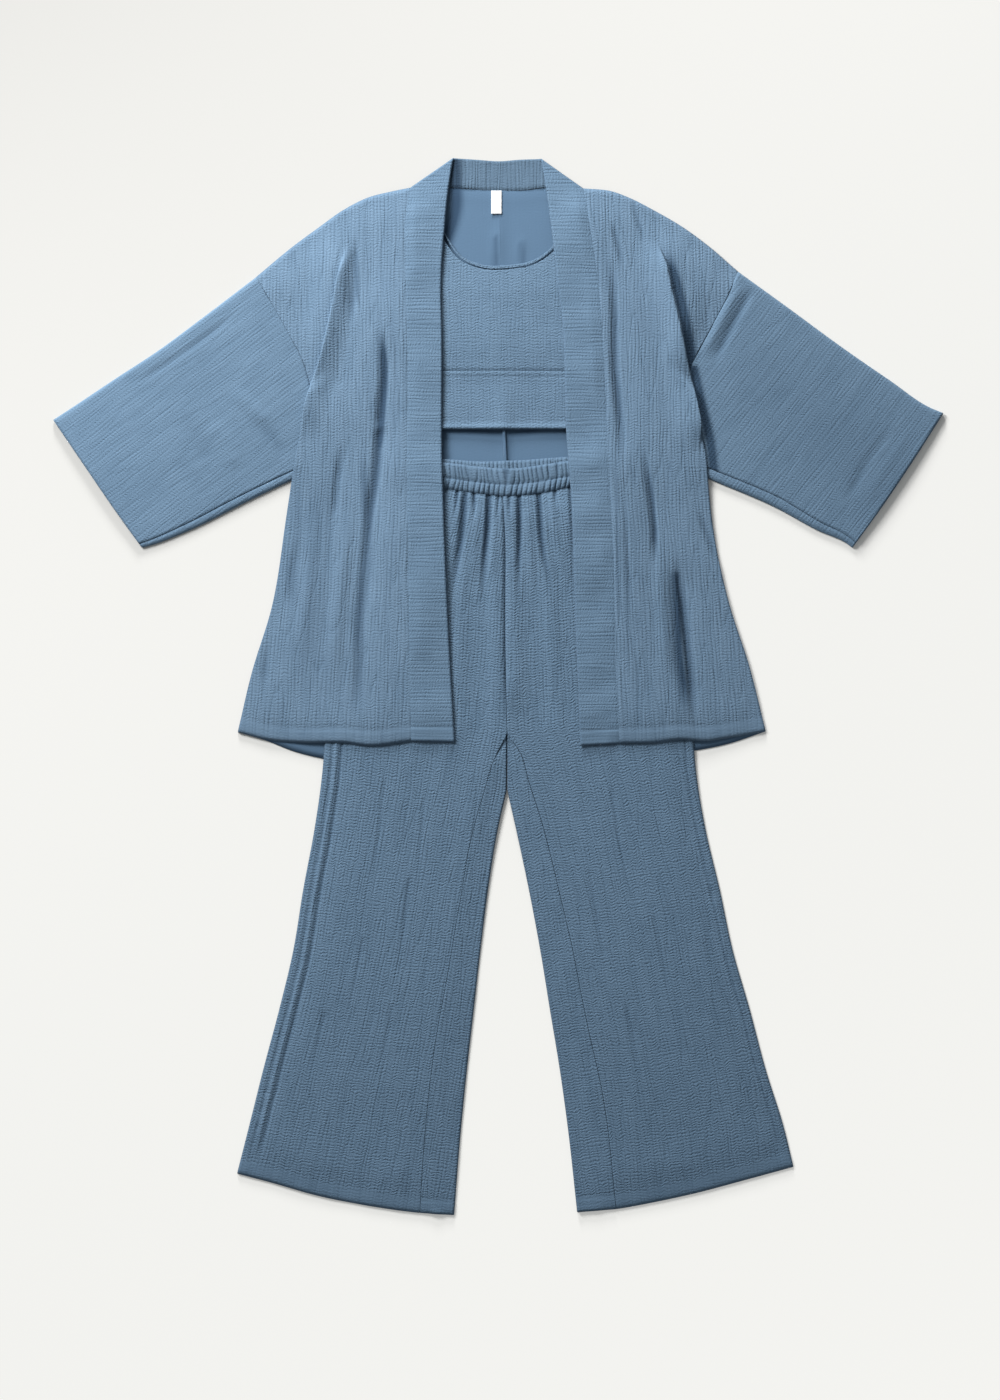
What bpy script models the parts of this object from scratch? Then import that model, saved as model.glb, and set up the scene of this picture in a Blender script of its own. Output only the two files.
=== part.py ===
"""Kimono, crop top and trousers of crinkled double gauze, laid flat on one another.

Seen from above: X runs to the right, Y runs up the body to the neck, Z stands up from the floor.
Left and right are the viewer's. Sizes are in millimetres until the last step.
"""

from collections import namedtuple

import bpy
import numpy as np
from mathutils.geometry import delaunay_2d_cdt

MM = 0.001
CLOTH = 1.1  # wall of the double gauze
DOUBLE = 1.8  # wall of bands folded double
LABEL = 0.8
SEAM = 0.4  # between pieces sewn edge to edge
LAY = 0.45  # between a piece and what it lies on
STEP = 25.0  # points along an edge
MESH = 23.0  # points inside a panel
PIXEL = 2.5  # square of the height map
HOLLOW = 3.0  # room inside a flat sleeve
PUFF = 1.6  # more of it along the sleeve's middle
ROLL = 3.0  # how far a sleeve's rolled edges reach
PEEK = 5.0  # back of the leg that shows beside the front
BINDING = 5.5
LABEL_BOX = (-9.0, 5.0, 628.5, 659.5)
BACK_SEAM_WIDTH = 4.5
BACK_SEAM_WALL = 0.9

FRONT_LOFT = 3.4  # air under each kimono front
BAND_LOFT = 3.2
TOP_LOFT = 1.6
LEG_LOFT = 2.6
LOFT_RAMP = 26.0  # from a free edge to the full loft

INSEAM_ROWS = np.array([0, 0.025, 0.07, *np.linspace(0.13, 1, 14)])  # shares of the inseam's length
GATHERS = 9  # in each front of the trousers
GATHER_HEIGHT = 4.5
RUFFLES = 27  # along the waistband
RUFFLE_HEIGHT = 2.2

GAUZE = (0.135, 0.228, 0.335)
INSIDE = (0.125, 0.215, 0.325)
WHITE = (0.82, 0.82, 0.80)

# Each line is a row of points, x and y, from its first end to its last.
LINES = {
    "shoulder_left": [(-116, 663), (-141, 658), (-173, 650), (-205, 634), (-239, 610), (-269, 588),
                      (-321, 545)],
    "shoulder_right": [(113, 662), (152, 658), (174, 650), (206, 634), (247, 610), (277, 588), (319, 552)],
    "armhole_left": [(-321, 545), (-306, 519), (-281, 475), (-258, 430), (-249, 398)],
    "armhole_right": [(319, 552), (300, 510), (279, 471), (259, 432), (251, 402)],
    "armpit_left": [(-249, 398), (-247, 370), (-252, 335), (-274, 275)],
    "armpit_right": [(251, 402), (250, 370), (256, 335), (279, 277)],
    "cover_left": [(-249, 398), (-262, 340), (-270, 302), (-274, 275)],
    "cover_right": [(251, 402), (267, 345), (276, 309), (279, 277)],
    "side_left": [(-274, 275), (-281, 229), (-301, 105), (-327, 20), (-346, -60)],
    "side_right": [(279, 277), (283, 233), (306, 116), (335, 25), (356, -59)],
    "band_seam_left": [(-116, 663), (-123, 620), (-123, 580), (-122, 515), (-120, 428), (-121, 298),
                       (-119, 170), (-117, 20), (-115, -72)],
    "band_seam_right": [(113, 662), (121, 615), (127, 578), (135, 513), (140, 439), (143, 382), (145, 298),
                        (153, 169), (156, 23), (161, -75)],
    "band_edge_left": [(-59, 703), (-65, 665), (-71, 605), (-75, 549), (-74, 458), (-74, 307), (-72, 241),
                       (-66, 89), (-61, -4), (-57, -73)],
    "band_edge_right": [(57, 702), (63, 665), (73, 588), (78, 541), (85, 488), (88, 422), (90, 347),
                        (97, 249), (101, 129), (104, 49), (109, -78)],
    "front_hem_left": [(-346, -60), (-306, -70), (-258, -74), (-205, -74), (-169, -78), (-130, -74),
                       (-115, -72)],
    "front_hem_right": [(161, -75), (207, -74), (242, -70), (278, -72), (305, -68), (356, -59)],
    "neck_seam_left": [(-116, 663), (-65, 664), (-19, 661), (1, 660)],
    "neck_seam_right": [(1, 660), (28, 660), (63, 664), (113, 662)],
    "neck_edge": [(-59, 703), (-28, 701), (2, 699), (28, 701), (57, 702)],
    "centre_back": [(1, 660), (4, 500), (8, 340), (10, 300), (13, -95)],
    "back_hem_left": [(-346, -60), (-309, -71), (-270, -86), (-228, -96), (-100, -97), (13, -95)],
    "back_hem_right": [(13, -95), (120, -95), (200, -93), (254, -86), (305, -76), (356, -59)],
    "sleeve_top_left": [(-321, 545), (-396, 488), (-450, 448), (-511, 408), (-571, 368), (-591, 355)],
    "sleeve_top_right": [(319, 552), (380, 508), (462, 448), (520, 408), (575, 371), (592, 364)],
    "sleeve_low_left": [(-274, 275), (-330, 248), (-408, 209), (-459, 189), (-473, 185)],
    "sleeve_low_right": [(279, 277), (370, 238), (423, 209), (466, 189), (471, 185)],
    "cuff_left": [(-473, 185), (-511, 238), (-552, 298), (-591, 355)],
    "cuff_right": [(471, 185), (510, 239), (553, 303), (592, 364)],
    "top_neck": [(-84, 648), (-71, 605), (-63, 591), (-47, 572), (-19, 561), (16, 561), (46, 567), (64, 578),
                 (74, 588), (85, 610), (95, 648)],
    "top_armhole_left": [(-122, 645), (-134, 600), (-150, 545), (-186, 505)],
    "top_armhole_right": [(132, 645), (144, 600), (160, 545), (198, 505)],
    "top_side_left": [(-186, 505), (-188, 418)],
    "top_side_right": [(198, 505), (200, 418)],
    "bust_seam": [(-188, 418), (-71, 420), (70, 420), (200, 418)],
    "top_lower_left": [(-188, 418), (-190, 343)],
    "top_lower_right": [(200, 418), (202, 343)],
    "top_hem": [(-190, 345), (-72, 343), (10, 342), (88, 343), (202, 345)],
    "waist_top": [(-153, 303), (-69, 298), (-28, 293), (16, 290), (52, 294), (92, 300), (177, 305)],
    "waist_top_back": [(-153, 306), (-68, 303), (-29, 300), (19, 301), (92, 306), (177, 309)],
    "waist_seam_left": [(-153, 270), (-70, 263), (-36, 258), (6, 253)],
    "waist_seam_right": [(6, 253), (29, 254), (56, 257), (97, 265), (177, 272)],
    "centre_front": [(6, 253), (9, 200), (9, 89), (10, 20), (12, -62)],
    "inseam_left": [(12, -62), (-6, -98), (-19, -140), (-31, -182), (-52, -293), (-65, -370), (-84, -477),
                    (-98, -605), (-104, -699)],
    "inseam_right": [(12, -62), (30, -88), (41, -126), (55, -169), (84, -283), (98, -343), (114, -426),
                     (141, -553), (157, -694)],
    "crotch": [(12, -62), (12, -137)],
    "leg_inner_left": [(12, -137), (0, -190), (-13, -270), (-23, -350), (-32, -430), (-41, -509), (-49, -589),
                       (-58, -702)],
    "leg_inner_right": [(12, -137), (24, -190), (41, -270), (56, -350), (69, -430), (82, -509), (93, -589),
                        (105, -698)],
    "leg_outer_left": [(-153, 270), (-194, 169), (-213, 63), (-223, -31), (-228, -110), (-239, -190),
                       (-254, -270), (-267, -350), (-286, -430), (-307, -509), (-327, -589), (-342, -648)],
    "leg_outer_right": [(177, 272), (221, 169), (242, 63), (253, -31), (258, -110), (271, -190), (290, -270),
                        (307, -350), (330, -430), (351, -509), (376, -589), (388, -639)],
    "leg_hem_left": [(-342, -648), (-297, -660), (-237, -677), (-177, -689), (-104, -699), (-58, -702)],
    "leg_hem_right": [(105, -698), (157, -694), (202, -686), (262, -673), (322, -657), (388, -639)],
}

# A fold's height is above the loft, or below it where negative. It falls away over near on the left of its
# direction and over far on the right.
Fold = namedtuple("Fold", "height near far points")
FOLDS = {
    "kimono_front_left": [
        Fold(6.0, 6, 40, [(-250, 408), (-237, 432), (-221, 497), (-210, 557), (-197, 592)]),
        Fold(-4.2, 13, 15, [(-154, 480), (-150, 416), (-156, 348), (-166, 249), (-180, 148), (-181, 40)]),
        Fold(-2.2, 10, 10, [(-205, 315), (-213, 275), (-218, 215)]),
        Fold(2.0, 16, 16, [(-236, 180), (-252, 90), (-276, 0)]),
    ],
    "kimono_front_right": [
        Fold(7.0, 40, 6, [(252, 412), (247, 440), (241, 476), (227, 537), (214, 600)]),
        Fold(-3.8, 13, 12, [(150, 560), (157, 496), (158, 420), (163, 368), (168, 285)]),
        Fold(-2.2, 10, 10, [(200, 285), (207, 219), (206, 165)]),
        Fold(-3.8, 18, 16, [(232, 175), (245, 97), (250, 21), (256, -30)]),
    ],
}


def curve(points, shares):
    """Points at shares (0 to 1) of the length of a smooth curve through a line's points."""
    p = np.array(points, float)
    at = np.concatenate([[0], np.cumsum(np.hypot(*np.diff(p, axis=0).T))])
    slope = np.gradient(p, at, axis=0)
    t = np.clip(np.asarray(shares, float), 0, 1) * at[-1]
    k = np.clip(np.searchsorted(at, t, side="right") - 1, 0, len(p) - 2)
    h = (at[k + 1] - at[k])[:, None]
    s = (t - at[k])[:, None] / h
    return ((1 + 2 * s) * (1 - s) ** 2 * p[k] + s * (1 - s) ** 2 * h * slope[k]
            + s**2 * (3 - 2 * s) * p[k + 1] + s**2 * (s - 1) * h * slope[k + 1])


def line(name, step=STEP):
    """A named line as points about one step apart."""
    p = np.array(LINES[name], float)
    long = np.hypot(*np.diff(p, axis=0).T).sum()
    return curve(p, np.linspace(0, 1, max(1, round(long / step)) + 1))


def join(*parts):
    """Lines end to end as one row of points, without the doubled ends."""
    rows = [parts[0]]
    for part in parts[1:]:
        rows.append(part[1:] if np.hypot(*(part[0] - rows[-1][-1])) < 2 else part)
    return np.concatenate(rows)


def beside(points, away):
    """A row of points moved sideways, to its left where away is positive."""
    d = np.gradient(points, axis=0)
    d /= np.hypot(*d.T)[:, None]
    return points + away * np.stack([-d[:, 1], d[:, 0]], axis=1)


def ring(*parts):
    """A closed outline from rows of points whose ends nearly touch, each corner where its two rows cross."""
    parts = [np.array(part) for part in parts]
    corners = []
    for a, b in zip(parts, parts[1:] + parts[:1]):
        run, other, gap = a[-1] - a[-2], b[1] - b[0], b[0] - a[-1]
        cross = run[0] * other[1] - run[1] * other[0]
        if abs(cross) < 0.05 * np.hypot(*run) * np.hypot(*other):
            corners.append((a[-1] + b[0]) / 2)
        else:
            corners.append(a[-1] + run * (gap[0] * other[1] - gap[1] * other[0]) / cross)
    return np.concatenate([np.concatenate([part[1:-1], [corner]]) for part, corner in zip(parts, corners)])


def spread(t, top, bottom, left, right):
    """Points of a patch between two side rows and the two lines across their ends, t the shares across."""
    s = np.linspace(0, 1, len(left))[:, None, None]
    t = np.asarray(t)[:, None]
    top = top + (1 - t) * (left[0] - top[0]) + t * (right[0] - top[-1])
    bottom = bottom + (1 - t) * (left[-1] - bottom[0]) + t * (right[-1] - bottom[-1])
    t = t[None]
    corners = (1 - s) * ((1 - t) * left[0] + t * right[0]) + s * ((1 - t) * left[-1] + t * right[-1])
    return (1 - t) * left[:, None] + t * right[:, None] + (1 - s) * top[None] + s * bottom[None] - corners


def grid_faces(rows, columns):
    """Triangles over a grid of points, the same way up for every patch."""
    i = np.arange((rows - 1) * columns).reshape(rows - 1, columns)[:, :-1].ravel()
    lower = i + columns
    return np.concatenate([np.stack([i, lower, i + 1], 1), np.stack([i + 1, lower, lower + 1], 1)])


def upward(points, faces):
    """Faces turned so that each is seen from above with its corners going round to the left."""
    a, b, c = (points[faces[:, k]] for k in range(3))
    turned = (b[:, 0] - a[:, 0]) * (c[:, 1] - a[:, 1]) - (b[:, 1] - a[:, 1]) * (c[:, 0] - a[:, 0]) < 0
    faces = faces.copy()
    faces[turned] = faces[turned][:, ::-1]
    return faces


def within(points, outline):
    """Which points lie inside a closed outline."""
    a, b = outline, np.roll(outline, -1, axis=0)
    x, y = points[:, 0][:, None], points[:, 1][:, None]
    rise = np.where(np.abs(b[:, 1] - a[:, 1]) < 1e-9, 1e-9, b[:, 1] - a[:, 1])
    crossing = ((a[:, 1] > y) != (b[:, 1] > y)) & (x < (b[:, 0] - a[:, 0]) * (y - a[:, 1]) / rise + a[:, 0])
    return crossing.sum(1) % 2 == 1


def from_line(points, row):
    """Distance of points from an open row, its sign (positive to the row's left) and the share along it."""
    a, d = row[:-1], np.diff(row, axis=0)
    long = np.hypot(*d.T)
    t = np.clip(((points[:, None] - a) * d).sum(2) / long**2, 0, 1)
    away = points[:, None] - a - t[..., None] * d
    far = np.hypot(away[..., 0], away[..., 1])
    k = far.argmin(1)
    i = np.arange(len(points))
    side = np.sign(d[k, 0] * away[i, k, 1] - d[k, 1] * away[i, k, 0])
    start = np.concatenate([[0], np.cumsum(long)[:-1]])
    return far[i, k], side, (start[k] + t[i, k] * long[k]) / long.sum()


def panel(outline, folds=(), mesh=MESH):
    """Points and triangles of a flat panel, with rows of points along its folds."""
    rows = []
    for fold in folds:
        centre = curve(fold.points, np.linspace(0, 1, max(3, round(len(fold.points) * 1.6))))
        rows.append(centre)
        rows += [beside(centre, away) for away in (fold.near, -fold.far) if abs(away) < 20]
    edge = np.concatenate([outline, outline[:1]])
    rows = [r[within(r, outline) & (from_line(r, edge)[0] > 5)] for r in rows]
    low, high = outline.min(0), outline.max(0)
    across, up = np.arange(low[0], high[0], mesh), np.arange(low[1], high[1], mesh * 0.87)
    x, y = np.meshgrid(across, up)
    x = x + np.where(np.arange(len(up)) % 2, mesh / 2, 0)[:, None]
    inner = np.stack([x.ravel(), y.ravel()], 1)
    inner = inner[within(inner, outline)]
    inner = inner[from_line(inner, edge)[0] > 0.5 * mesh]
    for r in rows:
        if len(r):
            inner = inner[np.hypot(*(inner[:, None] - r).transpose(2, 0, 1)).min(1) > 0.55 * mesh]
    points, edges = [outline], [(i, (i + 1) % len(outline)) for i in range(len(outline))]
    start = len(outline)
    for r in rows:
        edges += [(start + i, start + i + 1) for i in range(len(r) - 1)]
        points.append(r)
        start += len(r)
    points = np.concatenate([*points, inner])
    out = delaunay_2d_cdt([tuple(p) for p in points], edges, [list(range(len(outline)))], 1, 1e-4)
    flat, faces = np.array([tuple(p) for p in out[0]]), np.array([list(f) for f in out[2]])
    return flat, upward(flat, faces)


def folded(points, folds):
    """Height that the folds add at each point."""
    total = np.zeros(len(points))
    for fold in folds:
        row = curve(fold.points, np.linspace(0, 1, 24))
        far, side, share = from_line(points, row)
        wide = np.where(side > 0, fold.near, fold.far)
        rise = np.cos(np.pi / 2 * np.clip(far / wide, 0, 1)) ** 2
        ends = np.clip(np.minimum(share, 1 - share) / 0.22, 0, 1)
        total += fold.height * rise * ends * ends * (3 - 2 * ends)
    return total


def loft(points, height, edges, ramp=LOFT_RAMP):
    """Air under a panel, none at its free edges."""
    share = np.ones(len(points))
    for edge in edges:
        s = np.clip(from_line(points, edge)[0] / ramp, 0, 1)
        share *= s * s * (3 - 2 * s)
    return height * share


class Pile:
    """Height of all that has been laid down, as a square map and as points on the borders of its pieces."""

    def __init__(self):
        self.low = np.array([-640.0, -740.0])
        self.top = np.zeros((round(1280 / PIXEL), round(1480 / PIXEL)))
        self.rims = []

    def squares(self, points, faces):
        """Squares of the map under each triangle, the triangle's corners and their weights."""
        found = []
        for face in faces:
            a, b, c = points[face]
            low = np.ceil((np.minimum(np.minimum(a, b), c) - self.low) / PIXEL).astype(int)
            high = np.floor((np.maximum(np.maximum(a, b), c) - self.low) / PIXEL).astype(int)
            i, j = np.meshgrid(np.arange(low[0], high[0] + 1), np.arange(low[1], high[1] + 1), indexing="ij")
            spots = np.stack([i.ravel(), j.ravel()], 1)
            w = weights(spots * PIXEL + self.low, a, b, c)
            inside = (w > -1e-6).all(1)
            if inside.any():
                found.append((spots[inside], np.tile(face, (inside.sum(), 1)), w[inside]))
        return [np.concatenate(part) for part in zip(*found)]

    def add(self, points, height, faces):
        spots, corners, w = self.squares(points, faces)
        here = (height[corners] * w).sum(1)
        i, j = spots.T
        np.maximum.at(self.top, (i, j), here)
        pairs = np.sort(np.concatenate([faces[:, [0, 1]], faces[:, [1, 2]], faces[:, [2, 0]]]), axis=1)
        ends, uses = np.unique(pairs, axis=0, return_counts=True)
        for t in (0.0, 0.25, 0.5, 0.75):
            p, q = ends[uses == 1].T
            self.rims.append(np.column_stack([points[p] * (1 - t) + points[q] * t,
                                              height[p] * (1 - t) + height[q] * t]))

    def rest(self, points, faces, smooth=4, sag=0.85):
        """Lowest height of a panel that clears what lies under it."""
        spots, corners, w = self.squares(points, faces)
        need = self.top[tuple(spots.T)]
        need = np.where(need > 0, need + LAY, 0)
        rims = np.concatenate(self.rims) if self.rims else np.zeros((0, 3))
        extra = [(corners, w, need)]
        for face in faces:
            a, b, c = points[face]
            low, high = np.minimum(np.minimum(a, b), c), np.maximum(np.maximum(a, b), c)
            near = rims[((rims[:, :2] >= low) & (rims[:, :2] <= high)).all(1)]
            if len(near):
                v = weights(near[:, :2], a, b, c)
                inside = (v > -1e-6).all(1)
                extra.append((np.tile(face, (inside.sum(), 1)), v[inside], near[inside, 2] + LAY))
        corners, w, need = (np.concatenate(part) for part in zip(*extra))
        share = 0.6 * w / (w**2).sum(1)[:, None]
        here = np.round((points - self.low) / PIXEL).astype(int)
        height = self.top[tuple(here.T)]
        height = np.where(height > 0, height + LAY, 0)
        a, b = np.concatenate([faces[:, [0, 1]], faces[:, [1, 2]], faces[:, [2, 0]]]).T
        count = np.bincount(a, minlength=len(points)) + np.bincount(b, minlength=len(points))
        for turn in range(120):
            short = np.maximum(0, need - (height[corners] * w).sum(1))
            if turn > smooth and short.max() < 0.01:
                break
            lift = np.zeros(len(points))
            np.maximum.at(lift, corners.ravel(), (short[:, None] * share).ravel())
            height += lift
            if turn < smooth:
                mean = np.bincount(a, height[b], len(points)) + np.bincount(b, height[a], len(points))
                height = np.maximum(height, sag * mean / count)
        return height


def weights(spots, a, b, c):
    """Weights of a triangle's three corners at each spot."""
    area = (b[0] - a[0]) * (c[1] - a[1]) - (b[1] - a[1]) * (c[0] - a[0])
    u = ((b[0] - spots[:, 0]) * (c[1] - spots[:, 1]) - (b[1] - spots[:, 1]) * (c[0] - spots[:, 0])) / area
    v = ((c[0] - spots[:, 0]) * (a[1] - spots[:, 1]) - (c[1] - spots[:, 1]) * (a[0] - spots[:, 0])) / area
    return np.stack([u, v, 1 - u - v], 1)


def solid(name, vertices, faces, colour, roughness=0.9):
    """A named closed body with its own finish."""
    mesh = bpy.data.meshes.new(name)
    corners = [tuple(int(i) for i in face) for face in faces]
    mesh.from_pydata([tuple(v) for v in np.asarray(vertices) * MM], [], corners)
    finish = bpy.data.materials.new(name + "_finish")
    finish.use_nodes = True
    shader = finish.node_tree.nodes["Principled BSDF"]
    shader.inputs["Base Color"].default_value = (*colour, 1)
    shader.inputs["Roughness"].default_value = roughness
    shader.inputs["Metallic"].default_value = 0.0
    mesh.materials.append(finish)
    for face in mesh.polygons:
        face.use_smooth = True
    mesh.update()
    body = bpy.data.objects.new(name, mesh)
    bpy.context.collection.objects.link(body)
    return body


def cloth(name, points, faces, under, wall, colour, pile):
    """A wall of cloth over its underside's heights, laid on the pile; gives its points and those heights."""
    faces = upward(points, faces)
    below = np.column_stack([points, under])
    a, b, c = (below[faces[:, k]] for k in range(3))
    normals = np.zeros_like(below)
    for k in range(3):
        np.add.at(normals, faces[:, k], np.cross(b - a, c - a))
    lean = normals[:, 2] / np.linalg.norm(normals, axis=1)
    above = below + [0, 0, 1] * (wall * np.minimum(1 / lean, 1.8))[:, None]
    pairs = np.concatenate([faces[:, [0, 1]], faces[:, [1, 2]], faces[:, [2, 0]]])
    _, index, uses = np.unique(np.sort(pairs, axis=1), axis=0, return_index=True, return_counts=True)
    border = pairs[index[uses == 1]]
    n = len(points)
    sides = [(p, q, q + n, p + n) for p, q in border]
    solid(name, np.concatenate([below, above]), [*faces[:, ::-1], *(faces + n), *sides], colour)
    pile.add(points, above[:, 2], faces)
    return points, under


def flat(points, share, long):
    """No height added."""
    return np.zeros(len(points))


def strip(name, upper, lower, columns, under, wall, colour, pile, sewn=None):
    """A long piece between two equal rows of points, its lower row level with the piece sewn to it."""
    t = np.asarray(columns)[None, :, None]
    points = (upper[:, None] * (1 - t) + lower[:, None] * t).reshape(-1, 2)
    faces = upward(points, grid_faces(len(upper), len(columns)))
    rest = pile.rest(points, faces)
    share = np.tile(columns, len(upper))
    long = np.repeat(np.linspace(0, 1, len(upper)), len(columns))
    height = rest + under(points, share, long)
    if sewn is not None:
        near = np.hypot(*(lower[:, None] - sewn[0]).transpose(2, 0, 1)).argmin(1)
        step = np.repeat(sewn[1][near] - height[len(columns) - 1::len(columns)], len(columns))
        height = np.maximum(rest, height + step * share**1.5)
    cloth(name, points, faces, height, wall, colour, pile)


def flat_back(pile):
    """Two halves of the kimono's back on the floor, and the seam between them."""
    middle = line("centre_back")
    for side, turn in (("left", 1), ("right", -1)):
        neck = line("neck_seam_" + side)
        hem = line("back_hem_" + side)
        root = join(line("armhole_" + side), line("armpit_" + side))
        if side == "left":
            neck = neck[::-1]
        else:
            hem = hem[::-1]
        outline = ring(beside(neck, turn * SEAM / 2), line("shoulder_" + side), beside(root, turn * SEAM / 2),
                       line("side_" + side), hem, beside(middle, -turn * SEAM / 2)[::-1])
        points, faces = panel(outline, mesh=60)
        cloth("kimono_back_" + side, points, faces, np.zeros(len(points)), CLOTH, INSIDE, pile)
    ridge = curve([(4, 500), (8, 340), (10, 300), (11, 235)], np.linspace(0, 1, 8))
    strip("kimono_centre_back_seam", beside(ridge, BACK_SEAM_WIDTH / 2), beside(ridge, -BACK_SEAM_WIDTH / 2),
          (0, 0.5, 1), flat, BACK_SEAM_WALL, INSIDE, pile)


def neck_band(pile):
    """The part of the band behind the neck, seen from its inner side."""
    seam = join(line("neck_seam_left"), line("neck_seam_right"))
    edge = curve(LINES["neck_edge"], np.linspace(0, 1, len(seam)))
    strip("band_neck", edge, beside(seam, SEAM / 2), (0, 0.5, 1), flat, DOUBLE, INSIDE, pile)


def sleeve_section(row, along, puff, inset):
    """One ring of a flat sleeve, its floor layer from the low edge to the top and its cover back again."""
    high = CLOTH * 2 + HOLLOW
    reach = ROLL + 0.5 * inset
    low, top = row[0] + along * reach, row[-1] - along * reach
    floor = [(*p, inset) for p in (low, *row[1:-1], top)]
    rise = np.concatenate([[0], puff, [0]])
    cover = [(*p, high - inset + h) for p, h in zip((low, *row[1:-1], top), rise)]
    ends = [(*(row[0] + along * inset), high / 2), (*(row[-1] - along * inset), high / 2)]
    return [*floor, ends[1], *cover[::-1], ends[0]]


def sleeve(side, pile):
    """A flattened tube from the armhole to the cuff, its upper and lower edges rolled."""
    root = join(line("armhole_" + side), line("armpit_" + side))[::-1]
    root = beside(root, SEAM / 2 if side == "left" else -SEAM / 2)
    at = np.concatenate([[0], np.cumsum(np.hypot(*np.diff(root, axis=0).T))])
    across = at / at[-1]
    low, top = (curve(LINES[f"sleeve_{edge}_{side}"], np.linspace(0, 1, 11)) for edge in ("low", "top"))
    low[0], top[0] = root[0], root[-1]
    plan = spread(across, root, curve(LINES["cuff_" + side], across), low, top)
    rows, columns = plan.shape[:2]
    outer, inner = [], []
    for i in range(rows):
        puff = PUFF * np.sin(np.pi * across[1:-1]) * min(1, i / 2)
        along = plan[i, -1] - plan[i, 0]
        along = along / np.hypot(*along)
        outer.append(sleeve_section(plan[i], along, puff, 0.0))
        inner.append(sleeve_section(plan[i], along, puff, CLOTH))
    outer, inner = np.array(outer), np.array(inner)
    n, around = rows * outer.shape[1], outer.shape[1]
    faces = []
    for i in range(rows - 1):
        for j in range(around):
            a, b = i * around + j, i * around + (j + 1) % around
            c, d = a + around, b + around
            faces += [(a, b, c), (b, d, c), (a + n, c + n, b + n), (b + n, c + n, d + n)]
    for j in range(around):
        k = (j + 1) % around
        last = (rows - 1) * around
        faces += [(j, j + n, k + n, k), (last + j, last + k, last + k + n, last + j + n)]
    faces = [f[::-1] if side == "left" else f for f in faces]
    solid("sleeve_" + side, np.concatenate([outer.reshape(-1, 3), inner.reshape(-1, 3)]), faces, GAUZE)
    cover = outer[:, columns:].reshape(-1, 3)
    shown = grid_faces(rows, around - columns)
    pile.add(cover[:, :2], cover[:, 2], upward(cover[:, :2], shown))


def crop_top(pile):
    """Back and front of the crop top, their under-bust bands and the neck binding."""
    seam = line("bust_seam")
    lower = [line("top_lower_" + side, 24) - [0, SEAM / 2] for side in ("left", "right")]
    neck = curve(LINES["top_neck"], np.linspace(0, 1, 19))
    for layer, drop, air in (("back", 9.0, 0.0), ("front", BINDING, TOP_LOFT)):
        inset = 2.0 if layer == "back" else 0.0
        edge = beside(neck, -drop - (SEAM if layer == "front" else 0))
        sides = {s: [line(f"top_{part}_{s}") - [(inset if s == "right" else -inset), 0]
                     for part in ("armhole", "side")] for s in ("left", "right")}
        straps = [np.array([edge[-1], sides["right"][0][0]]), np.array([sides["left"][0][0], edge[0]])]
        outline = ring(edge, straps[0], *sides["right"], beside(seam, SEAM / 2)[::-1],
                       sides["left"][1][::-1], sides["left"][0][::-1], straps[1])
        points, faces = panel(outline, mesh=34)
        height = pile.rest(points, faces)
        if air:
            height += loft(points, air, [np.concatenate([outline, outline[:1]])], 30)
        across = np.linspace(0, 1, len(seam))
        band = spread(across, beside(seam, -SEAM / 2), curve(LINES["top_hem"], across) + [0, inset], *lower)
        body = cloth("top_" + layer, points, faces, height, CLOTH, GAUZE, pile)
        points = band.reshape(-1, 2)
        faces = upward(points, grid_faces(*band.shape[:2]))
        cloth("top_band_" + layer, points, faces, pile.rest(points, faces), CLOTH, GAUZE, pile)
    strip("top_binding", neck, beside(neck, -BINDING), (0, 0.5, 1),
          lambda p, s, t: 0.4 * np.sin(np.pi * s), CLOTH * 1.2, GAUZE, pile, body)


def trouser_backs(pile):
    """Backs of the trousers, over the kimono's back and down on to the floor."""
    for side, turn in (("left", 1), ("right", -1)):
        middle = join(line("centre_front", 60), line("crotch", 60), line("leg_inner_" + side, 60))
        inner = beside(middle, -turn * SEAM / 2)
        outer = curve(LINES["leg_outer_" + side], np.linspace(0, 1, len(inner)))
        t = np.linspace(0, 1, 6)
        waist, hem = curve(LINES["waist_seam_" + side], t), curve(LINES["leg_hem_" + side], t)
        left, right = (outer, inner) if side == "left" else (inner, outer)
        plan = spread(t, waist, hem, left, right)
        points = plan.reshape(-1, 2)
        faces = upward(points, grid_faces(*plan.shape[:2]))
        cloth("trouser_back_" + side, points, faces, pile.rest(points, faces), CLOTH, INSIDE, pile)


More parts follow.
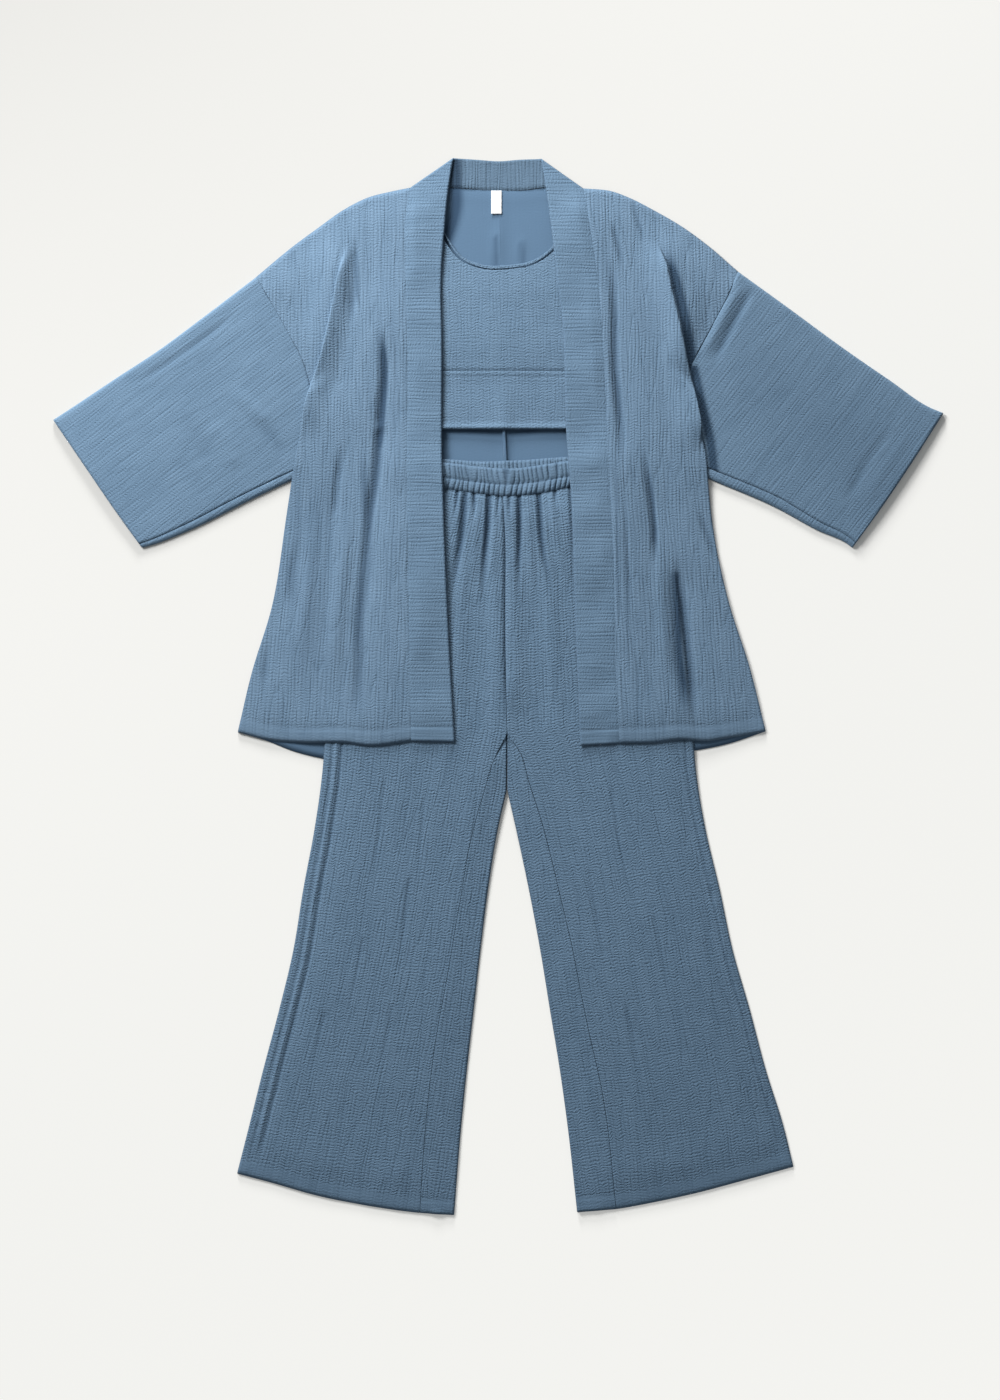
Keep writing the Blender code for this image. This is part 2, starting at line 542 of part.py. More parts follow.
def trouser_fronts(pile):
    """Gathered fronts, and the strip of each back that is turned round the inner leg."""
    for side, turn in (("left", 1), ("right", -1)):
        upper = curve(LINES["centre_front"], (0, 0.03, 0.08, 0.15, 0.24, 0.34, 0.46, 0.6, 0.73, 0.86, 1))
        inside = beside(join(upper, curve(LINES["inseam_" + side], INSEAM_ROWS)), -turn * SEAM / 2)
        share = np.concatenate([[0], np.cumsum(np.hypot(*np.diff(inside, axis=0).T))])
        outside = beside(curve(LINES["leg_outer_" + side], share / share[-1]), turn * PEEK)
        t = np.linspace(0, 1, 2 * GATHERS + 1)
        hem = np.array(LINES["leg_hem_" + side])
        seam_at = 4 if side == "left" else 1
        hem = curve(hem[:seam_at + 1] if side == "left" else hem[seam_at:], t)
        waist = curve(LINES["waist_seam_" + side], t)
        left, right = (outside, inside) if side == "left" else (inside, outside)
        plan = spread(t, waist - [0, SEAM], hem, left, right)
        points = plan.reshape(-1, 2)
        faces = upward(points, grid_faces(*plan.shape[:2]))
        down = np.clip((253 - points[:, 1]) / 950, 0, 1)
        column = np.tile(np.arange(len(t)), len(left))
        reach = np.where(column % 4 == 1, 0.26, 0.11) + 0.02 * (column % 3)
        crest = np.where(column % 2, GATHER_HEIGHT, 0) * np.exp(-((down / reach) ** 2))
        crest *= (0.35 + 0.65 * np.clip(down / 0.02, 0, 1)) * np.exp(-((points[:, 0] - 12) / 190) ** 4)
        air = loft(points, LEG_LOFT, [outside, waist, line("leg_hem_" + side)], 34)
        height = pile.rest(points, faces) + air + crest
        front = cloth("trouser_front_" + side, points, faces, height, CLOTH, GAUZE, pile)
        seam = curve(LINES["inseam_" + side], INSEAM_ROWS)[1:]
        rim = [(12, seam[0, 1] - 3), (12, -137), *LINES["leg_inner_" + side][1:]]
        rim = curve(rim, (INSEAM_ROWS[1:] - INSEAM_ROWS[1]) / (1 - INSEAM_ROWS[1]))
        seam, rim = beside(seam, turn * SEAM / 2), beside(rim, -turn * SEAM)
        strip("trouser_turn_" + side, rim, seam, (0, 0.5, 1),
              lambda p, s, t: 0.8 * np.sin(np.pi * s), CLOTH, GAUZE, pile, front)


def waistband(pile):
    """Elastic waistband in two ruffled rows, its back showing a little above its front."""
    for layer, top, columns, height in (("back", "waist_top_back", RUFFLES * 2 + 1, 1.2),
                                        ("front", "waist_top", RUFFLES * 4 + 1, RUFFLE_HEIGHT)):
        t = np.linspace(0, 1, columns)
        half = np.linspace(0, 1, columns // 2 + 1)
        left, right = (curve(LINES["waist_seam_" + side], half) for side in ("left", "right"))
        lower = np.concatenate([left, right[1:]]) + [0, SEAM if layer == "front" else 8]
        upper = curve(LINES[top], t)
        wave = 0.5 - 0.5 * np.cos(2 * np.pi * RUFFLES * t + 0.9 * np.sin(11 * t))
        rows, high = (0, 0.24, 0.5, 0.78, 1), (0.7, 1, 0.3, 1, 0.7)
        if layer == "back":
            rows, high = (0, 1), (1, 1)

        def under(points, share, long):
            level = np.interp(share, rows, high)
            return height * level * np.interp(long, t, wave) + (1.2 * level if layer == "front" else 0)

        strip("waistband_" + layer, upper, lower, rows, under, CLOTH, GAUZE, pile)


def fronts(pile):
    """Kimono fronts over the crop top, the trousers and the sleeves' roots, and their bands."""
    sewn = {}
    for side, turn in (("left", 1), ("right", -1)):
        folds = FOLDS["kimono_front_" + side]
        seam = line("band_seam_" + side)
        armhole = line("armhole_" + side)
        border = join(line("cover_" + side), line("side_" + side))
        hem = line("front_hem_" + side)
        hem = hem if side == "left" else hem[::-1]
        shoulder = line("shoulder_" + side)
        outline = ring(shoulder, beside(armhole, turn * SEAM / 2), border, hem,
                       beside(seam, -turn * SEAM / 2)[::-1])
        points, faces = panel(outline, folds)
        air = loft(points, FRONT_LOFT, [shoulder, border, hem])
        height = pile.rest(points, faces, 14, 0.97) + np.maximum(0, air + folded(points, folds))
        sewn[side] = cloth("kimono_front_" + side, points, faces, height, CLOTH, GAUZE, pile)
    for side, turn in (("left", 1), ("right", -1)):
        seam = line("band_seam_" + side)
        edge = curve(LINES["band_edge_" + side], np.linspace(0, 1, len(seam)))

        def under(points, share, long):
            ends = np.clip(np.minimum(long, 1 - long) / 0.04, 0, 1)
            return BAND_LOFT * (0.55 + 0.45 * np.sin(np.pi * (0.25 + 0.6 * (1 - share)))) * ends

        seam = beside(seam, turn * SEAM / 2)
        strip("band_" + side, edge, seam, (0, 0.35, 0.7, 1), under, DOUBLE, GAUZE, pile, sewn[side])


def label(pile):
    """Small woven label hanging from the neck seam, bare."""
    x0, x1, y0, y1 = LABEL_BOX
    columns = np.linspace(0, 1, 3)
    upper = np.array([(x0, y1), (x0, (y0 + y1) / 2), (x0, y0)])
    lower = np.array([(x1, y1), (x1, (y0 + y1) / 2), (x1, y0)])
    strip("neck_label", upper, lower, columns, flat, LABEL, WHITE, pile)


def main():
    for old in list(bpy.data.objects):
        bpy.data.objects.remove(old, do_unlink=True)
    pile = Pile()
    flat_back(pile)
    label(pile)
    neck_band(pile)
    sleeve("left", pile)
    sleeve("right", pile)
    crop_top(pile)
    trouser_backs(pile)
    trouser_fronts(pile)
    waistband(pile)
    fronts(pile)


main()
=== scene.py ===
"""Looks of a kimono pyjama set of crinkled double gauze, laid flat and seen from straight above.

Left and right are the viewer's. Tables are in millimetres, in the frame's X and Y; all else is in metres.
"""

import logging
from collections.abc import Callable
from dataclasses import dataclass, replace
from enum import Enum

import bmesh
import bpy
import numpy as np
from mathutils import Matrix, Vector
from mathutils.bvhtree import BVHTree


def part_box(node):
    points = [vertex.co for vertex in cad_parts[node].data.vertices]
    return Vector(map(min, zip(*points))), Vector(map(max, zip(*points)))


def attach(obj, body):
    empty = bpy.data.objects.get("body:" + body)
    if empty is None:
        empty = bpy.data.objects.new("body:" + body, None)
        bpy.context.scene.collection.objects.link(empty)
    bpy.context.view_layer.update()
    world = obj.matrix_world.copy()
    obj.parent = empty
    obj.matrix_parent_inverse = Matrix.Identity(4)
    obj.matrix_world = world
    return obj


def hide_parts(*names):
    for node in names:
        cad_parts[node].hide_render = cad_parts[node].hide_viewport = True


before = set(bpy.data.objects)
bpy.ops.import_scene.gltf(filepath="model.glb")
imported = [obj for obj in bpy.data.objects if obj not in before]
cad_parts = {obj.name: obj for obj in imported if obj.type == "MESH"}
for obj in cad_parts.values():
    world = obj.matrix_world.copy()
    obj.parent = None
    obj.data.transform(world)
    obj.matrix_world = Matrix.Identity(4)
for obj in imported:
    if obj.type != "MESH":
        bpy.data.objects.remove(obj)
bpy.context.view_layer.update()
LOG = logging.getLogger("set")
MM = 0.001
GAP = 0.0004
Array = np.ndarray


class Side(Enum):
    """Side of the set as seen from above."""

    LEFT = "left"
    RIGHT = "right"

    @property
    def turn(self) -> int:
        """Minus one for the left and one for the right, the way X runs."""
        return -1 if self is Side.LEFT else 1


class Grain(Enum):
    """Way that a panel's crinkle runs."""

    ALONG = "along"
    ACROSS = "across"
    CHECK = "check"
    SMOOTH = "smooth"


LINES: dict[str, list[tuple[float, float]]] = {
    "shoulder_left": [(-116, 663), (-141, 658), (-173, 650), (-205, 634), (-239, 610), (-269, 588),
                      (-321, 545)],
    "shoulder_right": [(113, 662), (152, 658), (174, 650), (206, 634), (247, 610), (277, 588), (319, 552)],
    "armhole_left": [(-321, 545), (-306, 519), (-281, 475), (-258, 430), (-249, 398)],
    "armhole_right": [(319, 552), (300, 510), (279, 471), (259, 432), (251, 402)],
    "armpit_left": [(-249, 398), (-247, 370), (-252, 335), (-274, 275)],
    "armpit_right": [(251, 402), (250, 370), (256, 335), (279, 277)],
    "cover_left": [(-249, 398), (-262, 340), (-270, 302), (-274, 275)],
    "cover_right": [(251, 402), (267, 345), (276, 309), (279, 277)],
    "side_left": [(-274, 275), (-281, 229), (-301, 105), (-327, 20), (-346, -60)],
    "side_right": [(279, 277), (283, 233), (306, 116), (335, 25), (356, -59)],
    "band_seam_left": [(-116, 663), (-123, 620), (-123, 580), (-122, 515), (-120, 428), (-121, 298),
                       (-119, 170), (-117, 20), (-115, -72)],
    "band_seam_right": [(113, 662), (121, 615), (127, 578), (135, 513), (140, 439), (143, 382), (145, 298),
                        (153, 169), (156, 23), (161, -75)],
    "band_edge_left": [(-59, 703), (-65, 665), (-71, 605), (-75, 549), (-74, 458), (-74, 307), (-72, 241),
                       (-66, 89), (-61, -4), (-57, -73)],
    "band_edge_right": [(57, 702), (63, 665), (73, 588), (78, 541), (85, 488), (88, 422), (90, 347),
                        (97, 249),
                        (101, 129), (104, 49), (109, -78)],
    "front_hem_left": [(-346, -60), (-306, -70), (-258, -74), (-205, -74), (-169, -78), (-130, -74),
                       (-115, -72)],
    "front_hem_right": [(161, -75), (207, -74), (242, -70), (278, -72), (305, -68), (356, -59)],
    "neck_seam": [(-116, 663), (-65, 664), (-19, 661), (1, 660), (28, 660), (63, 664), (113, 662)],
    "neck_seam_left": [(-116, 663), (-65, 664), (-19, 661), (1, 660)],
    "neck_seam_right": [(1, 660), (28, 660), (63, 664), (113, 662)],
    "neck_edge": [(-59, 703), (-28, 701), (2, 699), (28, 701), (57, 702)],
    "centre_back": [(1, 660), (4, 500), (8, 340), (10, 300), (13, -95)],
    "back_hem_left": [(-346, -60), (-309, -71), (-270, -86), (-228, -96), (-100, -97), (13, -95)],
    "back_hem_right": [(13, -95), (120, -95), (200, -93), (254, -86), (305, -76), (356, -59)],
    "sleeve_top_left": [(-321, 545), (-396, 488), (-450, 448), (-511, 408), (-571, 368), (-591, 355)],
    "sleeve_top_right": [(319, 552), (380, 508), (462, 448), (520, 408), (575, 371), (592, 364)],
    "sleeve_low_left": [(-274, 275), (-330, 248), (-408, 209), (-459, 189), (-473, 185)],
    "sleeve_low_right": [(279, 277), (370, 238), (423, 209), (466, 189), (471, 185)],
    "cuff_left": [(-473, 185), (-511, 238), (-552, 298), (-591, 355)],
    "cuff_right": [(471, 185), (510, 239), (553, 303), (592, 364)],
    "top_neck": [(-84, 648), (-71, 605), (-63, 591), (-47, 572), (-19, 561), (16, 561), (46, 567), (64, 578),
                 (74, 588), (85, 610), (95, 648)],
    "top_side_left": [(-122, 645), (-134, 600), (-150, 545), (-186, 505), (-188, 418)],
    "top_side_right": [(132, 645), (144, 600), (160, 545), (198, 505), (200, 418)],
    "bust_seam": [(-188, 418), (-71, 420), (70, 420), (200, 418)],
    "top_hem": [(-190, 341), (-72, 342), (10, 342), (88, 342), (202, 341)],
    "waist_top": [(-153, 303), (-69, 298), (-28, 293), (16, 290), (52, 294), (92, 300), (177, 305)],
    "waist_top_back": [(-153, 306), (-68, 303), (-29, 300), (19, 301), (92, 306), (177, 309)],
    "waist_seam_left": [(-153, 270), (-70, 263), (-36, 258), (6, 253)],
    "waist_seam_right": [(6, 253), (29, 254), (56, 257), (97, 265), (177, 272)],
    "centre_front": [(6, 253), (9, 200), (9, 89), (10, 20), (12, -62)],
    "inseam_left": [(12, -62), (-6, -98), (-19, -140), (-31, -182), (-52, -293), (-65, -370), (-84, -477),
                    (-98, -605), (-104, -699)],
    "inseam_right": [(12, -62), (30, -88), (41, -126), (55, -169), (84, -283), (98, -343), (114, -426),
                     (141, -553), (157, -694)],
    "crotch": [(12, -62), (12, -137)],
    "leg_inner_left": [(12, -137), (0, -190), (-13, -270), (-23, -350), (-32, -430), (-41, -509), (-49, -589),
                       (-58, -702)],
    "leg_inner_right": [(12, -137), (24, -190), (41, -270), (56, -350), (69, -430), (82, -509), (93, -589),
                        (105, -698)],
    "leg_outer_left": [(-153, 270), (-194, 169), (-213, 63), (-223, -31), (-228, -110), (-239, -190),
                       (-254, -270), (-267, -350), (-286, -430), (-307, -509), (-327, -589), (-342, -648)],
    "leg_outer_right": [(177, 272), (221, 169), (242, 63), (253, -31), (258, -110), (271, -190), (290, -270),
                        (307, -350), (330, -430), (351, -509), (376, -589), (388, -639)],
    "leg_hem_left": [(-342, -648), (-297, -660), (-237, -677), (-177, -689), (-104, -699), (-58, -702)],
    "leg_hem_right": [(105, -698), (157, -694), (202, -686), (262, -673), (322, -657), (388, -639)],
}


def curve(points: list[tuple[float, float]] | Array, shares: Array) -> Array:
    """Points along a smooth curve through a line's points.

    Args:
        points: The line's points.
        shares: Shares of the line's length, from 0 to 1.

    Returns:
        One point for each share.
    """
    p = np.array(points, float)
    at = np.concatenate([[0], np.cumsum(np.hypot(*np.diff(p, axis=0).T))])
    slope = np.gradient(p, at, axis=0)
    t = np.clip(np.asarray(shares, float), 0, 1) * at[-1]
    k = np.clip(np.searchsorted(at, t, side="right") - 1, 0, len(p) - 2)
    h = (at[k + 1] - at[k])[:, None]
    s = (t - at[k])[:, None] / h
    ends = (1 + 2 * s) * (1 - s) ** 2 * p[k] + s**2 * (3 - 2 * s) * p[k + 1]
    return ends + s * (1 - s) ** 2 * h * slope[k] + s**2 * (s - 1) * h * slope[k + 1]


def line(*names: str, count: int = 160) -> Array:
    """Named lines end to end, evenly spaced, in metres.

    Args:
        names: Names in LINES, each starting where the last one ends.
        count: Number of points wanted.

    Returns:
        The points, count by 2.
    """
    parts = [curve(LINES[name], np.linspace(0, 1, 80)) for name in names]
    row = np.concatenate([parts[0], *(part[1:] for part in parts[1:])])
    return even(row * MM, count)


def even(row: Array, count: int) -> Array:
    """The same open row of points again, evenly spaced.

    Args:
        row: Points in order.
        count: Number of points wanted.

    Returns:
        The points, count by 2.
    """
    at = np.concatenate([[0], np.cumsum(np.hypot(*np.diff(row, axis=0).T))])
    t = np.linspace(0, at[-1], count)
    return np.stack([np.interp(t, at, row[:, k]) for k in range(2)], axis=1)


def beside(row: Array, away: float | Array) -> Array:
    """A row of points moved sideways.

    Args:
        row: Points in order.
        away: Distance to the row's left, in metres.

    Returns:
        The moved points.
    """
    d = np.gradient(row, axis=0)
    d /= np.hypot(*d.T)[:, None]
    return row + np.reshape(away, (-1, 1)) * np.stack([-d[:, 1], d[:, 0]], axis=1)


def from_row(points: Array, row: Array) -> tuple[Array, Array, Array]:
    """How points lie to an open row.

    Args:
        points: Points to place, n by 2.
        row: Points of the row in order.

    Returns:
        Distance, side (positive to the row's left) and share of the row's length, for each point.
    """
    a, d = row[:-1], np.diff(row, axis=0)
    long = np.hypot(*d.T)
    best, side, share = np.full(len(points), np.inf), np.zeros(len(points)), np.zeros(len(points))
    start = np.concatenate([[0], np.cumsum(long)[:-1]])
    for k in range(len(d)):
        run = points - a[k]
        t = np.clip((run @ d[k]) / long[k] ** 2, 0, 1)
        away = run - t[:, None] * d[k]
        far = np.hypot(away[:, 0], away[:, 1])
        near = far < best
        best = np.where(near, far, best)
        side = np.where(near, np.sign(d[k, 0] * away[:, 1] - d[k, 1] * away[:, 0]), side)
        share = np.where(near, (start[k] + t * long[k]) / long.sum(), share)
    return best, side, share


def length(row: Array) -> float:
    """Length of a row of points.

    Args:
        row: Points in order.

    Returns:
        Its length.
    """
    return float(np.hypot(*np.diff(row, axis=0).T).sum())


def patch(top: Array, bottom: Array, left: Array, right: Array, rows: int, columns: int) -> Array:
    """Points spread evenly between four lines that meet at the corners.

    Args:
        top: First line, left to right.
        bottom: Last line, left to right.
        left: Left side, top to bottom.
        right: Right side, top to bottom.
        rows: Number of rows.
        columns: Number of columns.

    Returns:
        The points, rows by columns by 2.
    """
    left, right, top, bottom = even(left, rows), even(right, rows), even(top, columns), even(bottom, columns)
    s, t = np.linspace(0, 1, rows)[:, None, None], np.linspace(0, 1, columns)[:, None]
    top = top + (1 - t) * (left[0] - top[0]) + t * (right[0] - top[-1])
    bottom = bottom + (1 - t) * (left[-1] - bottom[0]) + t * (right[-1] - bottom[-1])
    t = t[None]
    corners = (1 - s) * ((1 - t) * left[0] + t * right[0]) + s * ((1 - t) * left[-1] + t * right[-1])
    return (1 - t) * left[:, None] + t * right[:, None] + (1 - s) * top[None] + s * bottom[None] - corners


def smooth(t: Array) -> Array:
    """Smooth step from 0 to 1.

    Args:
        t: Any values; those outside 0 to 1 are cut.

    Returns:
        The stepped values.
    """
    t = np.clip(t, 0, 1)
    return t * t * (3 - 2 * t)


def noise(p: Array, q: Array, seed: float) -> Array:
    """Smooth random values over a square lattice, the same ones each time.

    Args:
        p: First coordinate, in lattice squares.
        q: Second coordinate, in lattice squares.
        seed: Number of the pattern.

    Returns:
        Values from -1 to 1.
    """
    i, j = np.floor(p), np.floor(q)
    f, g = smooth(p - i), smooth(q - j)

    def corner(a: Array, b: Array) -> Array:
        """Random values from 0 to 1 at corners of the squares."""
        value = np.sin(a * 127.1 + b * 311.7 + seed * 74.7) * 43758.5453
        return value - np.floor(value)

    low = corner(i, j) * (1 - f) + corner(i + 1, j) * f
    high = corner(i, j + 1) * (1 - f) + corner(i + 1, j + 1) * f
    return 2 * (low * (1 - g) + high * g) - 1


def blurred(field_: Array, size: tuple[int, int], turns: int = 3) -> Array:
    """A grid of values blurred by repeated box means.

    Args:
        field_: Values, rows by columns.
        size: Half widths of the box in rows and columns.
        turns: Number of passes.

    Returns:
        The blurred grid.
    """
    out = field_.astype(float)
    for _ in range(turns):
        for axis, half in enumerate(size):
            if half < 1:
                continue
            pad = [(half + 1, half) if k == axis else (0, 0) for k in range(2)]
            total = np.cumsum(np.pad(out, pad, mode="edge"), axis=axis)
            n = out.shape[axis]
            high = np.take(total, np.arange(2 * half + 1, 2 * half + 1 + n), axis=axis)
            low = np.take(total, np.arange(0, n), axis=axis)
            out = (high - low) / (2 * half + 1)
    return out


@dataclass(frozen=True)
class Relief:
    """Smoothed heights of a CAD node's upper surface.

    Attributes:
        node: Name of the CAD node.
        square: Spacing of the height map.
        reach: How far the smoothing reaches.
    """

    node: str
    square: float = 0.004
    reach: float = 0.014

    def at(self, points: Array) -> Array:
        """Heights at points.

        Args:
            points: Places in X and Y, n by 2.

        Returns:
            One height for each point.
        """
        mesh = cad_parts[self.node].data
        tree = BVHTree.FromPolygons([v.co for v in mesh.vertices], [tuple(p.vertices) for p in mesh.polygons])
        low, high = (np.array(c[:2]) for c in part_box(self.node))
        low, high = np.minimum(low, points.min(0)) - 0.012, np.maximum(high, points.max(0)) + 0.012
        count = np.ceil((high - low) / self.square).astype(int) + 1
        height, known = np.zeros(count), np.zeros(count)
        down = Vector((0, 0, -1))
        for i in range(count[0]):
            x = low[0] + i * self.square
            for j in range(count[1]):
                hit = tree.ray_cast(Vector((x, low[1] + j * self.square, 1)), down)[0]
                if hit is not None:
                    height[i, j], known[i, j] = hit.z, 1
        half = max(1, round(self.reach / self.square / 1.7))
        total, weight = blurred(height, (half, half)), blurred(known, (half, half))
        level = np.where(weight > 0.02, total / np.maximum(weight, 1e-9), np.nan)
        while np.isnan(level).any():
            around = [np.roll(level, shift, axis) for axis in (0, 1) for shift in (1, -1)]
            found = np.sum(~np.isnan(around), axis=0)
            mean = np.nansum(around, axis=0) / np.maximum(found, 1)
            level = np.where(np.isnan(level) & (found > 0), mean, level)
        spot = (points - low) / self.square
        i, j = np.clip(np.floor(spot).astype(int), 0, count - 2).T
        f, g = (spot - np.stack([i, j], 1)).T
        near = level[i, j] * (1 - f) + level[i + 1, j] * f
        far = level[i, j + 1] * (1 - f) + level[i + 1, j + 1] * f
        return near * (1 - g) + far * g


class Stack:
    """Upper surface of the pieces laid so far, as a square map."""

    def __init__(self) -> None:
        """Starts with an empty floor."""
        self.square = 0.0022
        self.low = np.array([-0.64, -0.74])
        self.top = np.zeros((round(1.28 / self.square), round(1.48 / self.square)))

    def spots(self, points: Array) -> tuple[Array, Array]:
        """Squares that points fall in.

        Args:
            points: Places in X and Y, n by 2.

        Returns:
            Row and column numbers.
        """
        i, j = np.round((points - self.low) / self.square).astype(int).T
        return i, j

    def add(self, points: Array, height: Array) -> None:
        """Lays a piece.

        Args:
            points: Places, rows by columns by 2.
            height: Upper heights, rows by columns.
        """
        for f in (0.0, 0.34, 0.67):
            for g in (0.0, 0.5):
                p, z = points, height
                p, z = p[1:] * f + p[:-1] * (1 - f), z[1:] * f + z[:-1] * (1 - f)
                p, z = p[:, 1:] * g + p[:, :-1] * (1 - g), z[:, 1:] * g + z[:, :-1] * (1 - g)
                np.maximum.at(self.top, self.spots(p.reshape(-1, 2)), z.ravel())

    def raise_over(self, points: Array, height: Array, wall: float, spacing: tuple[float, float],
                   clear: Array) -> Array:
        """Heights of a piece lifted clear of what lies under it.

        Args:
            points: Places, rows by columns by 2.
            height: Upper heights, rows by columns.
            wall: Thickness of the piece.
            spacing: Spacing of its rows and columns.
            clear: Where the piece has to lie over the others, and not at its seams.

        Returns:
            The lifted heights.
        """
        under = self.top[self.spots(points.reshape(-1, 2))].reshape(height.shape)
        need = np.where(clear & (under > 0), under + wall + GAP, wall + 0.0001)
        reach = tuple(max(1, round(0.005 / s)) for s in spacing)
        for _ in range(6):
            painted_glow = np.maximum(0, need - height)
            if painted_glow.max() < 0.00005:
                break
            spread = painted_glow
            for axis, half in enumerate(reach):
                for shift in (-half, half):
                    spread = np.maximum(spread, 0.7 * np.roll(painted_glow, shift, axis))
            height = height + np.maximum(blurred(spread, reach, 1), 0.8 * painted_glow)
        return np.maximum(height, need)


@dataclass(frozen=True)
class Crease:
    """A soft ridge, or a trough where its height is negative, along a short line.

    Attributes:
        height: Height at its middle, in millimetres.
        near: Width to the left of its direction, in millimetres.
        far: Width to the right of its direction, in millimetres.
        points: Its line, in millimetres.
        ends: Shares of its length over which its start and its end fade.
        lean: How far its crest leans to the left of its direction, in millimetres.
    """

    height: float
    near: float
    far: float
    points: tuple[tuple[float, float], ...]
    ends: tuple[float, float] = (0.25, 0.25)
    lean: float = 0.0

    def rise(self, points: Array) -> tuple[Array, Array]:
        """Height that it adds, and how far it pushes the cloth sideways.

        Args:
            points: Places in X and Y, n by 2.

        Returns:
            One height and one shift for each point.
        """
        row = curve(self.points, np.linspace(0, 1, 4 * len(self.points))) * MM
        out, push = np.zeros(len(points)), np.zeros((len(points), 2))
        margin = max(self.near, self.far) * MM
        close = ((points > row.min(0) - margin) & (points < row.max(0) + margin)).all(1)
        if not close.any():
            return out, push
        far, side, share = from_row(points[close], row)
        wide = np.where(side > 0, self.near, self.far) * MM
        fade = smooth(np.minimum(share / self.ends[0], (1 - share) / self.ends[1]))
        rise = np.cos(np.pi / 2 * np.clip(far / wide, 0, 1)) ** 2 * fade
        along = row[-1] - row[0]
        along /= np.hypot(*along)
        out[close] = self.height * MM * rise
        push[close] = self.lean * MM * rise[:, None] * [-along[1], along[0]]
        return out, push


@dataclass(frozen=True)
class Crinkle:
    """Fine puckers of double gauze.

    Attributes:
        grain: Way that they run.
        height: Half of their height.
        pitch: Distance from one to the next.
        seed: Number of the pattern.
    """

    grain: Grain
    height: float = 0.00022
    pitch: float = 0.0062
    seed: float = 1.0

    def rise(self, p: Array, q: Array) -> Array:
        """Height that the puckers add.

        Args:
            p: Distance across the grain.
            q: Distance along the grain.

        Returns:
            Heights above and below the plain cloth.
        """
        if self.grain is Grain.SMOOTH:
            return 0.25 * self.height * noise(p / 0.03, q / 0.05, self.seed)
        p, q = p + 5, q + 5
        bend = 0.5 * noise(p / 0.05, q / 0.07, self.seed + 9)
        fine = noise(p / self.pitch + bend, q / (self.pitch * 5), self.seed)
        broad = noise(p / (self.pitch * 2.6) + bend, q / (self.pitch * 12), self.seed + 2)
        pulled = noise(p / (self.pitch * 0.62), q / (self.pitch * 3), self.seed + 4)
        cross = noise(p / (self.pitch * 3.2), q / (self.pitch * 0.72), self.seed + 6)
        weight = 0.45 if self.grain is Grain.CHECK else 0.2
        ridges = 0.62 * fine + 0.42 * broad + 0.25 * pulled
        if self.grain is Grain.CHECK:
            ridges = ridges * 0.7
        return self.height * (ridges + weight * cross)


@dataclass(frozen=True)
class Border:
    """How a panel ends.

    Attributes:
        roll: Radius of a rolled edge, nothing for a seam.
        ditch: Depth of the groove at a seam.
        hem: Depth of the turned-up hem, nothing without one.
        lift: How far the last few millimetres stand up.
        inset: How far a seam's edge lies inside its line.
    """

    roll: float = 0.0
    ditch: float = 0.0
    hem: float = 0.0
    lift: float = 0.0
    inset: float = 0.00013

    def seam(self, share: Array) -> Array:
        """Where it is a seam.

        Args:
            share: Shares of the border's length.

        Returns:
            One where it is a seam, and nothing elsewhere.
        """
        return np.full_like(share, float(self.ditch > 0))

    def shape(self, away: Array, share: Array) -> Array:
        """Height that it adds.

        Args:
            away: Distance from the border.
            share: Shares of the border's length.

        Returns:
            One height for each distance.
        """
        out = np.zeros_like(away)
        if self.ditch:
            out -= self.ditch * np.exp(-((away / 0.0018) ** 2))
        if self.lift:
            out += self.lift * (1 - smooth(away / 0.009))
        if self.roll:
            t = np.clip(1 - away / self.roll, 0, 1)
            out -= self.roll * 0.8 * (1 - np.sqrt(1 - t * t))
        if self.hem:
            out += 0.00035 * (1 - smooth((away - self.hem + 0.001) / 0.002))
            out -= 0.00075 * np.exp(-(((away - self.hem) / 0.0014) ** 2))
        return out


FADE = 0.03


@dataclass(frozen=True)
class Change:
    """A border that changes part way along, over a share FADE of its length.

    Attributes:
        first: How it starts.
        then: How it goes on.
        at: Share of its length where it changes.
        roll: Radius that the panel reads, so that its puckers fade there.
        ditch: Depth that the panel reads, so that its edge stays sharp.
        inset: How far the edge lies inside its line.
        hem: Depth of the turned-up hem, nothing without one.
    """

    first: Border
    then: Border
    at: float
    roll: float = 0.002
    ditch: float = 0.0003
    inset: float = 0.00013
    hem: float = 0.0

    def seam(self, share: Array) -> Array:
        """Where it is a seam.

        Args:
            share: Shares of the border's length.

        Returns:
            One where it is a seam, falling to nothing past the change.
        """
        return (1 - smooth((share - self.at) / FADE)) * self.first.seam(share)

    def shape(self, away: Array, share: Array) -> Array:
        """Height that it adds.

        Args:
            away: Distance from the border.
            share: Shares of the border's length.

        Returns:
            One height for each distance.
        """
        mix = smooth((share - self.at) / FADE)
        return (1 - mix) * self.first.shape(away, share) + mix * self.then.shape(away, share)


EDGES = ((np.s_[:, 0], np.s_[:, 1]), (np.s_[:, -1], np.s_[:, -2]), (np.s_[0], np.s_[1]),
         (np.s_[-1], np.s_[-2]))
SEAM = Border(ditch=0.0008)
SOFT = Border(ditch=0.0004)
THIN = Border(ditch=0.0001, inset=0.00005)
FLUSH = Border(ditch=0.00001, inset=0.00003)
FOLD = Border(roll=0.0016)
HEM = Border(roll=0.0016, hem=0.019)
PLAIN = Border()

# A fold this deep, in metres, gets the full painted shade of a crease, up to a cap. Rolled edges get a
# fainter painted shade along a narrow rim.
FULL_SHADE_FOLD = 0.0042
SHADE_CAP = 0.8
RIM_SHADE = 0.45
RIM_SHADE_WIDTH = 0.003
# Share of the bump that the stitching of a hem takes away, and the width over which it does.
CALM_SHARE = 0.65
CALM_WIDTH = 0.003
# How much of the tone comes from painted shade in the grain's grooves, from broad random mottling, and from
# painted light and shade on the puckers' crests and troughs.
PAINTED_GRAIN_SHADE = 0.55
MOTTLE_TONE = 0.20
PAINTED_CREST_SHADE = 0.30
